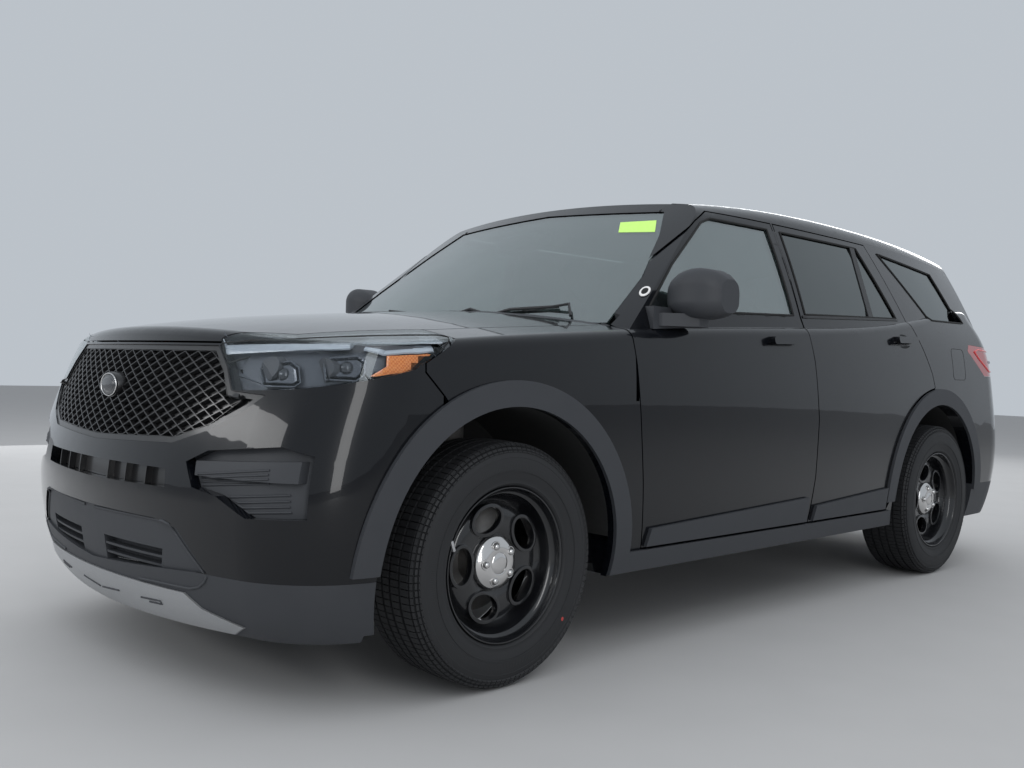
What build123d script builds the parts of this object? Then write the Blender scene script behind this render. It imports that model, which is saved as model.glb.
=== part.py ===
from build123d import *
from collections import namedtuple
from functools import cache
from math import cos, radians, sin
import os

# Police patrol car: a mid-size sport utility body with steel wheels and a diamond-mesh grille.
# Millimetres. X is the car's left, the nose points to -Y, Z is up. The origin lies on the ground,
# midway between the front and rear bumpers, on the centre plane.

# Driving dimensions
LENGTH = 5049.0
WHEELBASE = 3025.0
FRONT_OVERHANG = 898.0
TRACK = 1702.0
BODY_HALF_WIDTH = 982.0
ROOF_HEIGHT = 1757.0
TYRE_RADIUS = 378.0
TYRE_WIDTH = 255.0
RIM_RADIUS = 240.0

Y_NOSE = -LENGTH / 2
Y_TAIL = LENGTH / 2
FRONT_AXLE = Y_NOSE + FRONT_OVERHANG
REAR_AXLE = FRONT_AXLE + WHEELBASE
WHEEL_Z = TYRE_RADIUS
HALF_TRACK = TRACK / 2

# Walls and gaps
PANEL = 25.0
DOOR_WALL = 95.0
FRAME_WALL = 45.0
BELT_WALL = 20.0
SHUT_GAP = 6.0
DOOR_PLANE = 1010.0
DOOR_TAPER = 9.0
HINGE_INNER = 898.0
DOOR_HINGE_X = 972.0
FRONT_HINGE_Y = -1052.0
HINGE_RELIEF = 14.0
COWL_GAP = 16.0
FIREWALL_HALF = 822.0

# Running gear
STUB_RADIUS = 28.0
KING_X = 735.0
STRUT_X = 672.0
STRUT_TOP = 846.0
RAIL_Z = 500.0
SUBFRAME_TOP = 365.0
KNUCKLE_WIDTH = 56.0
KNUCKLE_HEIGHT = 250.0
KNUCKLE_FOOT = WHEEL_Z - 135.0
BALL_PIN_RADIUS = 14.0
BALL_PIN_REACH = 20.0
ARM_BOTTOM = 214.0
ARM_TOP = KNUCKLE_FOOT - 5.0
PIPE_Z = 260.0
TAILPIPE_X = 480.0
TAILPIPE_Z = 300.0
TAILPIPE_RADIUS = 38.0
TAILPIPE_ROOM = 6.0
SEAT = 0.3
GLASS = 5.0
GLASS_RECESS = 4.0
CLADDING = 14.0
SIDE_INNER = 560.0
SCREEN_WALL = 30.0

# Heights
SILL_BOTTOM = 285.0
DOOR_BOTTOM = 368.0
CLADDING_TOP = 470.0
FLOOR_TOP = 345.0
FLOOR_BOTTOM = 300.0
LOAD_FLOOR = 560.0
NOSE_BOTTOM = 210.0
FASCIA_TOP = 385.0
BONNET_LIP = 1030.0
BUMPER_SHELF = 800.0
DOOR_TOP = 1640.0

# Wheel arches
ARCH_INNER = 485.0
ARCH_OUTER = 565.0
ARCH_FOOT = 402.0
LINER = 14.0
ARCH_WALL = 60.0
REAR_COVER = 40.0
REAR_FASCIA_TOP = 430.0

# Fore and aft stations
FIREWALL = -1075.0
TAILGATE_CUT = 1985.0
HINGE_FRONT = -1085.0
PILLAR_FRONT = -1180.0
FAR = 3200.0

# Body walls, level by level. Setbacks are from the nose and the tail, insets from the half width.
Level = namedtuple("Level", "z nose nose_sag in_front in_middle in_rear tail_sag tail r_nose r_tail")
LEVELS = (
    Level(180, 120, 185, 82, 57, 102, 150, 145, 300, 300),
    Level(340, 25, 190, 37, 20, 57, 160, 45, 320, 320),
    Level(520, 0, 195, 14, 4, 37, 165, 1, 340, 330),
    Level(720, 17, 200, 8, 0, 32, 165, 13, 345, 330),
    Level(900, 73, 205, 10, 0, 37, 160, 63, 345, 320),
    Level(1060, 140, 210, 20, 8, 52, 150, 105, 340, 300),
    Level(1220, 235, 215, 62, 37, 92, 140, 166, 320, 280),
    Level(1400, 345, 215, 132, 92, 162, 130, 292, 320, 260),
)

# Bonnet and belt surface, station by station: height on the centre plane and at the shoulder
Deck = namedtuple("Deck", "y z_centre z_shoulder")
DECKS = (
    Deck(Y_NOSE - 35, 1030, 915),
    Deck(-2300, 1088, 970),
    Deck(-1800, 1150, 1032),
    Deck(-1100, 1205, 1092),
    Deck(-600, 1240, 1125),
    Deck(600, 1310, 1183),
    Deck(Y_TAIL + 35, 1360, 1255),
)
DECK_HALF = 1100.0
SHOULDER_RADIUS = 45.0

# Cabin sides and roof, station by station. Drops are from the roof height.
Hoop = namedtuple("Hoop", "y drop crown x_rail x_belt")
HOOPS = (
    Hoop(-1300, 257, 40, 750, 935),
    Hoop(-450, 57, 45, 750, 950),
    Hoop(450, 0, 48, 745, 955),
    Hoop(1350, 12, 45, 715, 935),
    Hoop(Y_TAIL - 25, 117, 40, 620, 850),
)
HOOP_FOOT = 1120.0
RAIL_RADIUS = 110.0
SIDE_BULGE = 14.0

# Windscreen and tailgate slopes: centre and corner stations at the foot and at the head
Screen = namedtuple("Screen", "z y_front front_sag y_rear rear_sag")
SCREENS = (
    Screen(HOOP_FOOT, -1250, 205, 2430, 62),
    Screen(1800, -330, 185, 1980, 50),
)
SCREEN_HALF = 980.0
TAIL_FLAT = 600.0
TAIL_HALF = 940.0
TAIL_WRAP = 420.0
FRONT_SLOPE = 1.68
REAR_SLOPE = 1.2


def write(part, name):
    """One labelled STEP file for each piece."""
    part.label = name
    export_step(part, f"parts/{name}.step")


# Master forms

@cache
def walls(inset):
    """The body's walls from sill to belt, lofted through plan outlines."""
    outlines = []
    for row in LEVELS:
        nose = Y_NOSE + row.nose + inset
        tail = Y_TAIL - row.tail - inset
        x_front = BODY_HALF_WIDTH - row.in_front - inset
        x_middle = BODY_HALF_WIDTH - row.in_middle - inset
        x_rear = BODY_HALF_WIDTH - row.in_rear - inset
        y_front = nose + row.nose_sag
        y_rear = tail - row.tail_sag
        y_middle = (nose + tail) / 2
        with BuildSketch(Plane.XY.offset(row.z)) as outline:
            with BuildLine():
                ThreePointArc((-x_front, y_front), (0, nose), (x_front, y_front))
                ThreePointArc((x_front, y_front), (x_middle, y_middle), (x_rear, y_rear))
                ThreePointArc((x_rear, y_rear), (0, tail), (-x_rear, y_rear))
                ThreePointArc((-x_rear, y_rear), (-x_middle, y_middle), (-x_front, y_front))
            make_face()
            fillet(outline.vertices().group_by(Axis.Y)[0], row.r_nose - inset)
            fillet(outline.vertices().group_by(Axis.Y)[-1], row.r_tail - inset)
        outlines.append(outline.sketch)
    with BuildPart() as form:
        loft(sections=outlines)
    return form.part


def across(y):
    """A plane across the car at station y, drawn in X and Z."""
    return Plane(origin=(0, y, 0), x_dir=(1, 0, 0), z_dir=(0, -1, 0))


@cache
def under_deck(drop):
    """Everything under the bonnet and belt surface."""
    sections = []
    for row in DECKS:
        edge = row.z_shoulder - drop
        with BuildSketch(across(row.y)) as section_face:
            with BuildLine():
                ThreePointArc((-DECK_HALF, edge), (0, row.z_centre - drop), (DECK_HALF, edge))
                Polyline((-DECK_HALF, edge), (-DECK_HALF, 100), (DECK_HALF, 100), (DECK_HALF, edge))
            make_face()
        sections.append(section_face.sketch)
    with BuildPart() as form:
        loft(sections=sections)
    return form.part


@cache
def lower_form(inset, drop=None):
    """The lower body, inset all round, and lowered at the top by as much or by a drop of its own."""
    with BuildPart() as form:
        add(walls(inset))
        add(under_deck(inset if drop is None else drop), mode=Mode.INTERSECT)
        if inset == 0:
            top_edges = form.edges().filter_by(lambda e: e.center().Z > 1000)
            fillet(top_edges, SHOULDER_RADIUS)
    return form.part


@cache
def tunnel(inset):
    """The cabin's sides and roof as one tunnel along the car."""
    sections = []
    for row in HOOPS:
        top = ROOF_HEIGHT - row.drop - inset
        rail = row.x_rail - inset
        belt = row.x_belt - inset
        z_rail = top - row.crown
        middle = ((rail + belt) / 2 + SIDE_BULGE, (z_rail + HOOP_FOOT) / 2)
        with BuildSketch(across(row.y)) as hoop:
            with BuildLine():
                ThreePointArc((-rail, z_rail), (0, top), (rail, z_rail))
                ThreePointArc((rail, z_rail), middle, (belt, HOOP_FOOT))
                Line((belt, HOOP_FOOT), (-belt, HOOP_FOOT))
                ThreePointArc((-belt, HOOP_FOOT), (-middle[0], middle[1]), (-rail, z_rail))
            make_face()
            fillet(hoop.vertices().group_by(Axis.Y)[-1], RAIL_RADIUS - inset)
        sections.append(hoop.sketch)
    with BuildPart() as form:
        loft(sections=sections)
    return form.part


@cache
def between_screens(inset):
    """The space between the windscreen's surface and the tailgate glass's."""
    sections = []
    for row in SCREENS:
        y0 = row.y_front + inset * FRONT_SLOPE
        y1 = row.y_rear - inset * REAR_SLOPE
        front_corner = y0 + row.front_sag
        rear_corner = y1 - row.rear_sag
        with BuildSketch(Plane.XY.offset(row.z)) as outline:
            with BuildLine():
                ThreePointArc((-SCREEN_HALF, front_corner), (0, y0), (SCREEN_HALF, front_corner))
                tail = ThreePointArc((-TAIL_FLAT, rear_corner), (0, y1), (TAIL_FLAT, rear_corner))
                for side, tangent in ((1, tail % 1), (-1, -(tail % 0))):
                    wrap_end = (side * TAIL_HALF, y1 - TAIL_WRAP)
                    TangentArc((side * TAIL_FLAT, rear_corner), wrap_end, tangent=tangent)
                    Line(wrap_end, (side * SCREEN_HALF, front_corner))
            make_face()
        sections.append(outline.sketch)
    with BuildPart() as form:
        loft(sections=sections, ruled=True)
    return form.part


@cache
def cabin_form(side_inset, screen_inset):
    with BuildPart() as form:
        add(tunnel(side_inset))
        add(between_screens(screen_inset), mode=Mode.INTERSECT)
    return form.part


# Cutters. Side outlines are drawn in Y and Z, front and rear outlines in X and Z, plans in X and Y.

def block(x0, x1, y0, y1, z0, z1):
    with BuildPart() as cutter:
        with Locations(((x0 + x1) / 2, (y0 + y1) / 2, (z0 + z1) / 2)):
            Box(x1 - x0, y1 - y0, z1 - z0)
    return cutter.part


def outline_face(plane, points, radius=0.0, grow=0.0):
    """A closed outline with rounded corners, grown or shrunk by a margin."""
    with BuildSketch(plane) as face:
        with BuildLine():
            Polyline(*points, close=True)
        make_face()
        if radius:
            fillet(face.vertices(), radius)
        if grow:
            offset(amount=grow, kind=Kind.INTERSECTION)
    return face.sketch


def prism(face, length):
    """A cutter that runs straight out of an outline."""
    with BuildPart() as cutter:
        extrude(to_extrude=face, amount=length)
    return cutter.part


def side_cutter(points, x0, x1, radius=0.0, grow=0.0):
    return prism(outline_face(Plane.YZ.offset(x0), points, radius, grow), x1 - x0)


def door_cutter(points, grow=0.0):
    """A door's outline run inwards from outside the body, narrowing so that the door swings clear."""
    with BuildPart() as cutter:
        extrude(to_extrude=outline_face(Plane.YZ.offset(DOOR_PLANE), points, 0, grow), amount=-500, taper=DOOR_TAPER)
    return cutter.part


def front_cutter(points, y0, y1, radius=0.0, grow=0.0):
    return prism(outline_face(across(y1), points, radius, grow), y1 - y0)


def plan_cutter(points, z0, z1, radius=0.0, grow=0.0):
    return prism(outline_face(Plane.XY.offset(z0), points, radius, grow), z1 - z0)


def mirrored_points(half):
    """A half outline from top centre to bottom centre, completed by its mirror image."""
    return list(half) + [(-x, z) for x, z in reversed(half) if x > 0]


def wheel_cylinder(radius, axle_y, x0, x1):
    with BuildPart() as cutter:
        with BuildSketch(Plane.YZ.offset(x0)):
            with Locations((axle_y, WHEEL_Z)):
                Circle(radius)
        extrude(amount=x1 - x0)
    return cutter.part


def cut(base, *tools):
    with BuildPart() as result:
        add(base)
        add(tools, mode=Mode.SUBTRACT)
    return result.part


def common(base, *tools):
    with BuildPart() as result:
        add(base)
        for tool in tools:
            add(tool, mode=Mode.INTERSECT)
    return result.part


def joined(*parts):
    with BuildPart() as result:
        for part in parts:
            add(part)
    return result.part


def both_sides(part):
    """The part and its mirror image across the centre plane."""
    with BuildPart() as pair:
        add(part)
        mirror(about=Plane.YZ)
    return pair.part


def right_of(part):
    with BuildPart() as other:
        add(part)
        mirror(about=Plane.YZ, mode=Mode.REPLACE)
    return other.part


def biggest(part):
    """Drops slivers that a cut leaves beside the piece."""
    return Part() + part.solids().sort_by(SortBy.VOLUME)[-1]


def sound(part, least=2000.0):
    """Drops slivers, keeps every real solid of a piece made of several."""
    kept = [s for s in part.solids() if s.volume > least]
    return Part() + kept


# Outlines measured on the body, in Y and Z

FRONT_DOOR = [
    (HINGE_FRONT - 8, 1170), (-1058, 1000), (-1035, 840), (-1008, 600), (-992, DOOR_BOTTOM - 8),
    (128, DOOR_BOTTOM - 8), (163, 560), (172, 800), (134, 1050), (94, 1231), (94, DOOR_TOP + 33),
    (-400, DOOR_TOP + 33), (-505, 1612), (-797, 1413), (-1040, 1208),
]
REAR_DOOR = [
    (40, DOOR_TOP + 33), (78, 1231), (128, 1050), (170, 800), (160, 560), (124, DOOR_BOTTOM - 8),
    (856, DOOR_BOTTOM - 8), (1344, 950), (1315, 1020), (1232, 1145), (1137, 1285), (938, DOOR_TOP + 33),
]
FRONT_WINDOW = [
    (-925, 1205), (-715, 1388), (-450, 1578), (-385, 1602), (10, 1606), (28, 1240),
]
REAR_WINDOW = [
    (132, 1250), (120, 1606), (800, 1606), (1000, 1300), (1010, 1282),
]
QUARTER_WINDOW = [
    (1040, 1606), (1690, 1560), (1868, 1305), (1440, 1300),
]
HEADLAMP_SIDE = [
    (-2560, 893), (-2377, 893), (-2320, 900), (-2210, 920), (-2115, 940), (-2012, 966),
    (-1939, 1008), (-1846, 1062), (-1840, 1200), (-2560, 1200),
]

# Outlines in X and Z, half of each
GRILLE_HALF = [(0, 1018), (490, 1018), (560, 958), (612, 892), (740, 884), (690, 842), (580, 780), (440, 736), (0, 720)]
SLOT_HALF = [(0, 664), (440, 664), (446, 612), (0, 606)]
LOWER_GRILLE_HALF = [(0, 520), (400, 520), (505, 500), (612, 388), (0, 350)]
FOG_RECESS = [(522, 690), (560, 622), (655, 606), (762, 556), (900, 560), (900, 728), (832, 750), (600, 726)]
SKID_HALF = [(0, 318), (505, 318), (560, 280), (700, 245), (640, 214), (0, 200)]
WINDSCREEN_HALF = [(0, 1664), (622, 1634), (705, 1520), (800, 1330), (835, 1150), (0, 1130)]
TAILGATE_HALF = [(0, 1800), (628, 1800), (628, 1590), (690, 1400), (742, 1250), (742, 960), (660, BUMPER_SHELF), (0, BUMPER_SHELF)]
TAIL_WINDOW_HALF = [(0, 1596), (560, 1580), (640, 1400), (676, 1290), (640, 1240), (0, 1225)]

# Bonnet in plan, half
BONNET_HALF = [(0, -2600), (430, -2600), (492, -2340), (690, -2215), (735, -2000), (790, -1800), (838, -1110), (560, -1190), (0, -1232)]


# Cowl panel in plan, half
COWL_HALF = [(0, -1226), (560, -1184), (820, -1112), (820, FIREWALL - SEAT), (0, FIREWALL - SEAT)]


def skin(region, outer, inner):
    """The stretch of the body walls between two insets that lies in a region."""
    return cut(common(walls(outer), region), walls(inner))


@cache
def cabin_ring(outer, inner, screen_outer=0.0, screen_inner=SCREEN_WALL):
    return cut(cabin_form(outer, screen_outer), cabin_form(inner, screen_inner))


@cache
def outer_form():
    return joined(lower_form(0), cabin_form(0, 0))


@cache
def inner_lower():
    return lower_form(DOOR_WALL, BELT_WALL)


@cache
def inner_cabin():
    return cabin_form(FRAME_WALL, SCREEN_WALL)


def hollowed(part):
    """The part less the hollow of the cabin and load space."""
    return cut(part, common(inner_lower(), block(-FAR, FAR, FIREWALL + 25, FAR, 0, FAR)), inner_cabin())


@cache
def arch_cuts(radius):
    return joined(*(
        wheel_cylinder(radius, axle, side * FAR if side < 0 else 0, 0 if side < 0 else FAR)
        for axle in (FRONT_AXLE, REAR_AXLE) for side in (-1, 1)
    ))


@cache
def bonnet_space(grow):
    half = BONNET_HALF
    return plan_cutter(mirrored_points(half), BONNET_LIP - grow, 1400, 0, grow)


@cache
def headlamp_space(grow):
    """Where the headlamps sit: above the lamp's lower line, outboard of its inner edge, under the bonnet."""
    side = side_cutter(HEADLAMP_SIDE, -FAR, FAR, 0, grow)
    inner_edge = [(498, 1200), (498, 1016), (568, 956), (620, 890), (620, 600), (1300, 600), (1300, 1200)]
    left = front_cutter(inner_edge, -FAR, -1000, 0, grow)
    return both_sides(common(side, left))


# Front end

def front_skin(region, thickness):
    """The stretch of the nose's skin that lies in a region."""
    return cut(common(lower_form(0), region), lower_form(thickness))


Pin = namedtuple("Pin", "x0 x1 y z radius")
BONNET_PIN = Pin(802, 818, -1112, 1136, 5)
TAILGATE_PIN = Pin(40, 110, TAILGATE_CUT - SHUT_GAP / 2 + SEAT, 1704, 3)


def hinge_pins(pin, grow):
    """A hinge pin each side of the centre plane, or the room for it."""
    with BuildPart() as pins:
        with BuildSketch(Plane.YZ.offset(pin.x0 - grow)):
            with Locations((pin.y, pin.z)):
                Circle(pin.radius + grow)
        extrude(amount=pin.x1 - pin.x0 + 2 * grow)
    return both_sides(pins.part)


def bonnet():
    return biggest(joined(front_skin(bonnet_space(0), 32), hinge_pins(BONNET_PIN, 0)))


def hinge_relief():
    """A scallop in the wing's rear edge, in which the front door's edge turns about its hinge."""
    with BuildPart() as scallop:
        with BuildSketch(Plane.XY.offset(880)):
            with Locations((DOOR_HINGE_X, FRONT_HINGE_Y)):
                Circle(HINGE_RELIEF)
        extrude(amount=160)
    return scallop.part


def wing():
    """The left front wing, from the headlamp and bumper seam back to the front door."""
    seam = [
        (-1905, 895), (-1972, 960), (-1972, 1300), (-1150, 1300), (HINGE_FRONT - SHUT_GAP, 1165),
        (-1058, 1000), (-1036, 840), (-1009, 600), (-991, DOOR_BOTTOM), (-988, SILL_BOTTOM), (-1400, SILL_BOTTOM),
    ]
    region = side_cutter(seam, 0, FAR)
    return biggest(cut(
        front_skin(region, PANEL),
        bonnet_space(SHUT_GAP),
        headlamp_space(4),
        arch_cuts(ARCH_INNER),
        block(-FAR, 500, -FAR, FAR, 0, FAR),
        cabin_form(0, -3),
        windscreen_space(4),
        plan_cutter(mirrored_points(COWL_HALF), 1050, 1400, 0, SEAT),
        hinge_relief(),
    ))


@cache
def bumper_region():
    """The front bumper cover: ahead of the wing seam and under the headlamps."""
    side = [(-2600, FASCIA_TOP), (-2600, 1100), (-1978, 1100), (-1978, 958), (-1911, 893), (-1911, FASCIA_TOP)]
    return side_cutter(side, -FAR, FAR)


def front_bumper():
    cover = front_skin(bumper_region(), PANEL)
    grille_hole = front_cutter(mirrored_points(GRILLE_HALF), -FAR, -2100, 0, 0)
    slot = front_cutter(mirrored_points(SLOT_HALF), -FAR, -2300)
    lower_hole = front_cutter(mirrored_points(LOWER_GRILLE_HALF), -FAR, -2300)
    fog = both_sides(front_cutter(FOG_RECESS, -FAR, -2150))
    return biggest(cut(
        cover, grille_hole, slot, lower_hole, fog,
        bonnet_space(SHUT_GAP), headlamp_space(SEAT), arch_cuts(ARCH_INNER),
    ))


def grille():
    """The mesh's backing in the nose opening, with a rim that follows the nose."""
    outline = mirrored_points(GRILLE_HALF)
    opening = front_cutter(outline, -FAR, -2100, 0, -SEAT)
    rim = cut(skin(opening, 4, 30), front_cutter(outline, -FAR, -2100, 0, -16))
    return biggest(joined(skin(opening, 22, 30), rim))


SLOT_BARS = (-330, -220, -110, 110, 220, 330)
LOUVRE_CORNERS = [(90, 432), (420, 432), (400, 362), (90, 352)]
LOUVRE_SLATS = (380, 407)


def upper_slot():
    """Blanked air slot under the grille, with upright bars."""
    opening = front_cutter(mirrored_points(SLOT_HALF), -FAR, -2300, 0, -SEAT)
    bars = joined(*(block(x - 3, x + 3, -FAR, -2300, 600, 670) for x in SLOT_BARS))
    return biggest(joined(skin(opening, 30, 40), skin(common(opening, bars), 10, 40)))


def lower_grille():
    """Matt panel with a louvred duct mouth each side of a centre post."""
    panel = skin(front_cutter(mirrored_points(LOWER_GRILLE_HALF), -FAR, -2300, 0, -SEAT), 8, 45)
    mouths = joined(*(
        front_cutter([(side * x, z) for x, z in LOUVRE_CORNERS], -FAR, -2200) for side in (-1, 1)
    ))
    slats = joined(*(block(-430, 430, -FAR, -2300, z - 3.5, z + 3.5) for z in LOUVRE_SLATS))
    return biggest(joined(cut(panel, cut(mouths, walls(40))), skin(common(slats, mouths), 10, 45)))


def fog_bezels():
    """Blanked fog lamp bezels: a bar over a recessed insert."""
    base = skin(front_cutter(FOG_RECESS, -FAR, -2150, 0, -SEAT), 26, 40)
    bar = skin(front_cutter([(548, 694), (552, 654), (870, 654), (870, 712)], -FAR, -2150), 10, 30)
    return both_sides(biggest(joined(base, bar)))


def front_fascia():
    """The matt lower edge of the front bumper, down to the air dam."""
    region = [(-2600, NOSE_BOTTOM), (-2600, FASCIA_TOP - SEAT), (-1911, FASCIA_TOP - SEAT), (-1911, NOSE_BOTTOM)]
    return biggest(cut(
        skin(side_cutter(region, -FAR, FAR), 0, 40),
        arch_cuts(ARCH_INNER),
        front_cutter(mirrored_points(LOWER_GRILLE_HALF), -FAR, -2300),
        front_cutter(mirrored_points(SKID_HALF), -FAR, -2150),
        block(-FAR, FAR, -2120, -1500, 0, NOSE_BOTTOM + 20),
    ))


def skid_plate():
    return biggest(skin(front_cutter(mirrored_points(SKID_HALF), -FAR, -2150, 0, -SEAT), -6, 30))


def headlamp_lens():
    """Clear covers of both headlamps."""
    lens = common(lower_form(0), headlamp_space(0), block(-FAR, FAR, -FAR, -1800, 0, FAR))
    return sound(cut(lens, lower_form(GLASS), bonnet_space(SHUT_GAP)))


def headlamp_housing():
    """Lamp bodies behind the covers, each with two projector barrels."""
    bowl = common(skin(headlamp_space(-3), 45, 120), block(-FAR, FAR, -FAR, -1905, 0, 1030))
    with BuildPart() as barrels:
        for x, y in ((700, -2265), (838, -2175)):
            with BuildSketch(across(y)):
                with Locations((x, 956)):
                    Circle(34)
            extrude(amount=48)
    left = joined(common(cut(bowl, bonnet_space(SHUT_GAP + 6)), block(0, FAR, -FAR, 0, 0, FAR)), common(barrels.part, walls(10)))
    return both_sides(biggest(left))


# Cabin

@cache
def windscreen_space(grow):
    return front_cutter(mirrored_points(WINDSCREEN_HALF), -1500, -250, 0, grow)


def windscreen():
    glass = common(
        cut(between_screens(GLASS_RECESS), between_screens(GLASS_RECESS + GLASS)),
        tunnel(2),
        windscreen_space(-SEAT),
    )
    return biggest(cut(glass, lower_form(-SEAT)))


def cowl():
    """The plenum panel between the bonnet and the windscreen."""
    panel = common(lower_form(0), plan_cutter(mirrored_points(COWL_HALF), 1050, 1400))
    return biggest(cut(
        panel, block(-780, 780, -1180, FIREWALL - 30, 0, 1110), bonnet_space(SHUT_GAP), hinge_pins(BONNET_PIN, SEAT),
        common(bonnet_space(COWL_GAP), block(-700, 700, -FAR, FAR, 0, FAR)),
    ))


@cache
def side_shell():
    """The left wall of the body, from the windscreen pillar to the tail, before any opening is cut."""
    corners = [(PILLAR_FRONT, SILL_BOTTOM), (PILLAR_FRONT, FAR), (FAR, FAR), (FAR, SILL_BOTTOM)]
    return hollowed(common(outer_form(), side_cutter(corners, SIDE_INNER, FAR)))


def door_seats():
    """Hinge blocks and latch strikers that meet the closed doors across the shut gap."""
    places = (
        (FRONT_DOOR, ((-1100, -900, 500, 560), (-1100, -900, 880, 940), (60, 260, 760, 800))),
        (REAR_DOOR, ((60, 260, 500, 560), (60, 260, 900, 960), (1230, 1400, 960, 1000))),
    )
    seats = []
    for points, boxes in places:
        blocks = joined(*(block(HINGE_INNER, HINGE_INNER + 40, *corners) for corners in boxes))
        gap = cut(common(door_cutter(points, SHUT_GAP + 1), blocks), door_cutter(points, SEAT))
        seats.append(gap)
    return seats


def body_side():
    """Pillars, sill, cant rail and rear quarter of the left side as one pressing."""
    behind_wing = [(-1300, 200), (-1300, 1400), (-1150, 1300), (HINGE_FRONT, 1165), (-1052, 1000), (-1030, 840),
                   (-1003, 600), (-985, DOOR_BOTTOM), (-982, 200)]
    shell = cut(
        side_shell(),
        windscreen_space(0),
        tailgate_space(SHUT_GAP),
        side_cutter(QUARTER_WINDOW, 300, FAR),
    )
    shell = cut(shell, door_cutter(FRONT_DOOR, SHUT_GAP), door_cutter(REAR_DOOR, SHUT_GAP))
    shell = cut(shell, roof_space(SEAT), bonnet_space(SHUT_GAP), arch_cuts(ARCH_INNER))
    shell = cut(shell, block(-FAR, FIREWALL_HALF, -FAR, FIREWALL + 25 + SEAT, 0, 1300))
    shell = cut(shell, block(-FAR, FAR, -FAR, FRONT_AXLE + ARCH_INNER + LINER + SEAT, 0, 1100))
    shell = cut(shell, cut(side_cutter(behind_wing, 500, FAR), lower_form(PANEL + SHUT_GAP)))
    shell = cut(shell, rear_bumper_space(SEAT))
    shell = cut(shell, tail_lamp_space(1), wheelhouse_space())
    return biggest(joined(shell, *door_seats()))


@cache
def wheelhouse_space():
    """Room for the rear wheelhouses inside the body walls."""
    return common(wheel_cylinder(ARCH_INNER + LINER + SEAT, REAR_AXLE, 500, FAR), walls(ARCH_WALL))


@cache
def roof_space(grow):
    plan = [(-600 - grow, -700), (600 + grow, -700), (600 + grow, TAILGATE_CUT), (-600 - grow, TAILGATE_CUT)]
    return plan_cutter(plan, 1560, 1900)


def roof():
    shell = common(cabin_ring(0, FRAME_WALL), roof_space(0))
    return biggest(cut(shell, windscreen_space(0), block(-FAR, FAR, TAILGATE_CUT - SHUT_GAP, FAR, 0, FAR)))


# Doors

HANDLE_GRIP = 18.0
HANDLE_STAND = 32.0
Handle = namedtuple("Handle", "y0 y1 z0 z1 rise")
FRONT_HANDLE = Handle(-226, -6, 1108, 1140, 8)
REAR_HANDLE = Handle(902, 1118, 1158, 1190, 8)


def door_handle(handle):
    """Strap handle that stands off the door's skin on a post at each end."""
    y0, y1, z0, z1, rise = handle
    outline = [(y0, z0), (y1, z0 + rise), (y1, z1 + rise), (y0, z1)]
    strap = side_cutter(outline, 700, FAR, 14)
    bar = cut(common(walls(-HANDLE_STAND), strap), walls(-CLADDING))
    posts = joined(*(block(700, FAR, y - 16, y + 16, z0 + 6, z1 - 4 + rise) for y in (y0 + 20, y1 - 20)))
    return joined(bar, cut(common(walls(-HANDLE_STAND + 6), common(strap, posts)), walls(HANDLE_GRIP)))


def door(points, window, handle):
    """A door as thick as the wall, with its window frame and handle."""
    slab = common(side_shell(), door_cutter(points))
    slab = cut(slab, side_cutter(window, 300, FAR), wheel_cylinder(ARCH_OUTER + 8, REAR_AXLE, 0, FAR))
    slab = cut(slab, block(0, 860, -FAR, FIREWALL + 60, 0, 1400), windscreen_space(SHUT_GAP))
    return biggest(joined(slab, door_handle(handle)))


def window_glass(window):
    return biggest(common(
        cut(tunnel(GLASS_RECESS), tunnel(GLASS_RECESS + GLASS)),
        side_cutter(window, 300, FAR, 0, -SEAT),
    ))


def door_cladding(y0, y1):
    """Matt strip along the foot of a door."""
    corners = [(y0, DOOR_BOTTOM + 4), (y0 + 20, CLADDING_TOP - 35), (y1, CLADDING_TOP + 5), (y1, DOOR_BOTTOM + 4)]
    strip = skin(side_cutter(corners, 500, FAR), -CLADDING, -SEAT)
    return biggest(cut(strip, wheel_cylinder(ARCH_OUTER + 10, REAR_AXLE, 0, FAR)))


MirrorSection = namedtuple("MirrorSection", "x y z depth height radius")
MIRROR_HEAD = (
    MirrorSection(918, -776, 1256, 96, 104, 36),
    MirrorSection(978, -772, 1262, 176, 164, 56),
    MirrorSection(1084, -758, 1264, 172, 168, 58),
    MirrorSection(1133, -742, 1256, 108, 118, 44),
)
MIRROR_ARM = [(900, -935), (900, -770), (990, -715), (1050, -745), (1050, -800), (960, -905)]
MIRROR_ARM_FOOT = 1146.0
MIRROR_ARM_DEPTH = 46.0


def door_mirror():
    """Door mirror: a lofted head on an arm, with a foot on the door's shoulder."""
    with BuildPart() as head:
        for section in MIRROR_HEAD:
            with BuildSketch(Plane.YZ.offset(section.x)):
                with Locations((section.y, section.z)):
                    RectangleRounded(section.depth, section.height, section.radius)
        loft()
    arm = plan_cutter(MIRROR_ARM, MIRROR_ARM_FOOT, MIRROR_ARM_FOOT + MIRROR_ARM_DEPTH, 20)
    foot = block(890, 950, -940, -765, MIRROR_ARM_FOOT - 22, MIRROR_ARM_FOOT + MIRROR_ARM_DEPTH + 22)
    return biggest(cut(joined(head.part, arm, foot), joined(lower_form(-SEAT), tunnel(-SEAT))))


# Tail

@cache
def tailgate_space(grow):
    return front_cutter(mirrored_points(TAILGATE_HALF), TAILGATE_CUT - grow, FAR, 0, grow)


def tailgate():
    lower = common(lower_form(0), tailgate_space(0))
    upper = common(cabin_form(0, 0), tailgate_space(0))
    shell = joined(cut(lower, inner_lower(), inner_cabin()), cut(upper, inner_lower(), inner_cabin()))
    gate = cut(shell, front_cutter(mirrored_points(TAIL_WINDOW_HALF), TAILGATE_CUT, FAR))
    return biggest(joined(gate, hinge_pins(TAILGATE_PIN, 0)))


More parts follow.
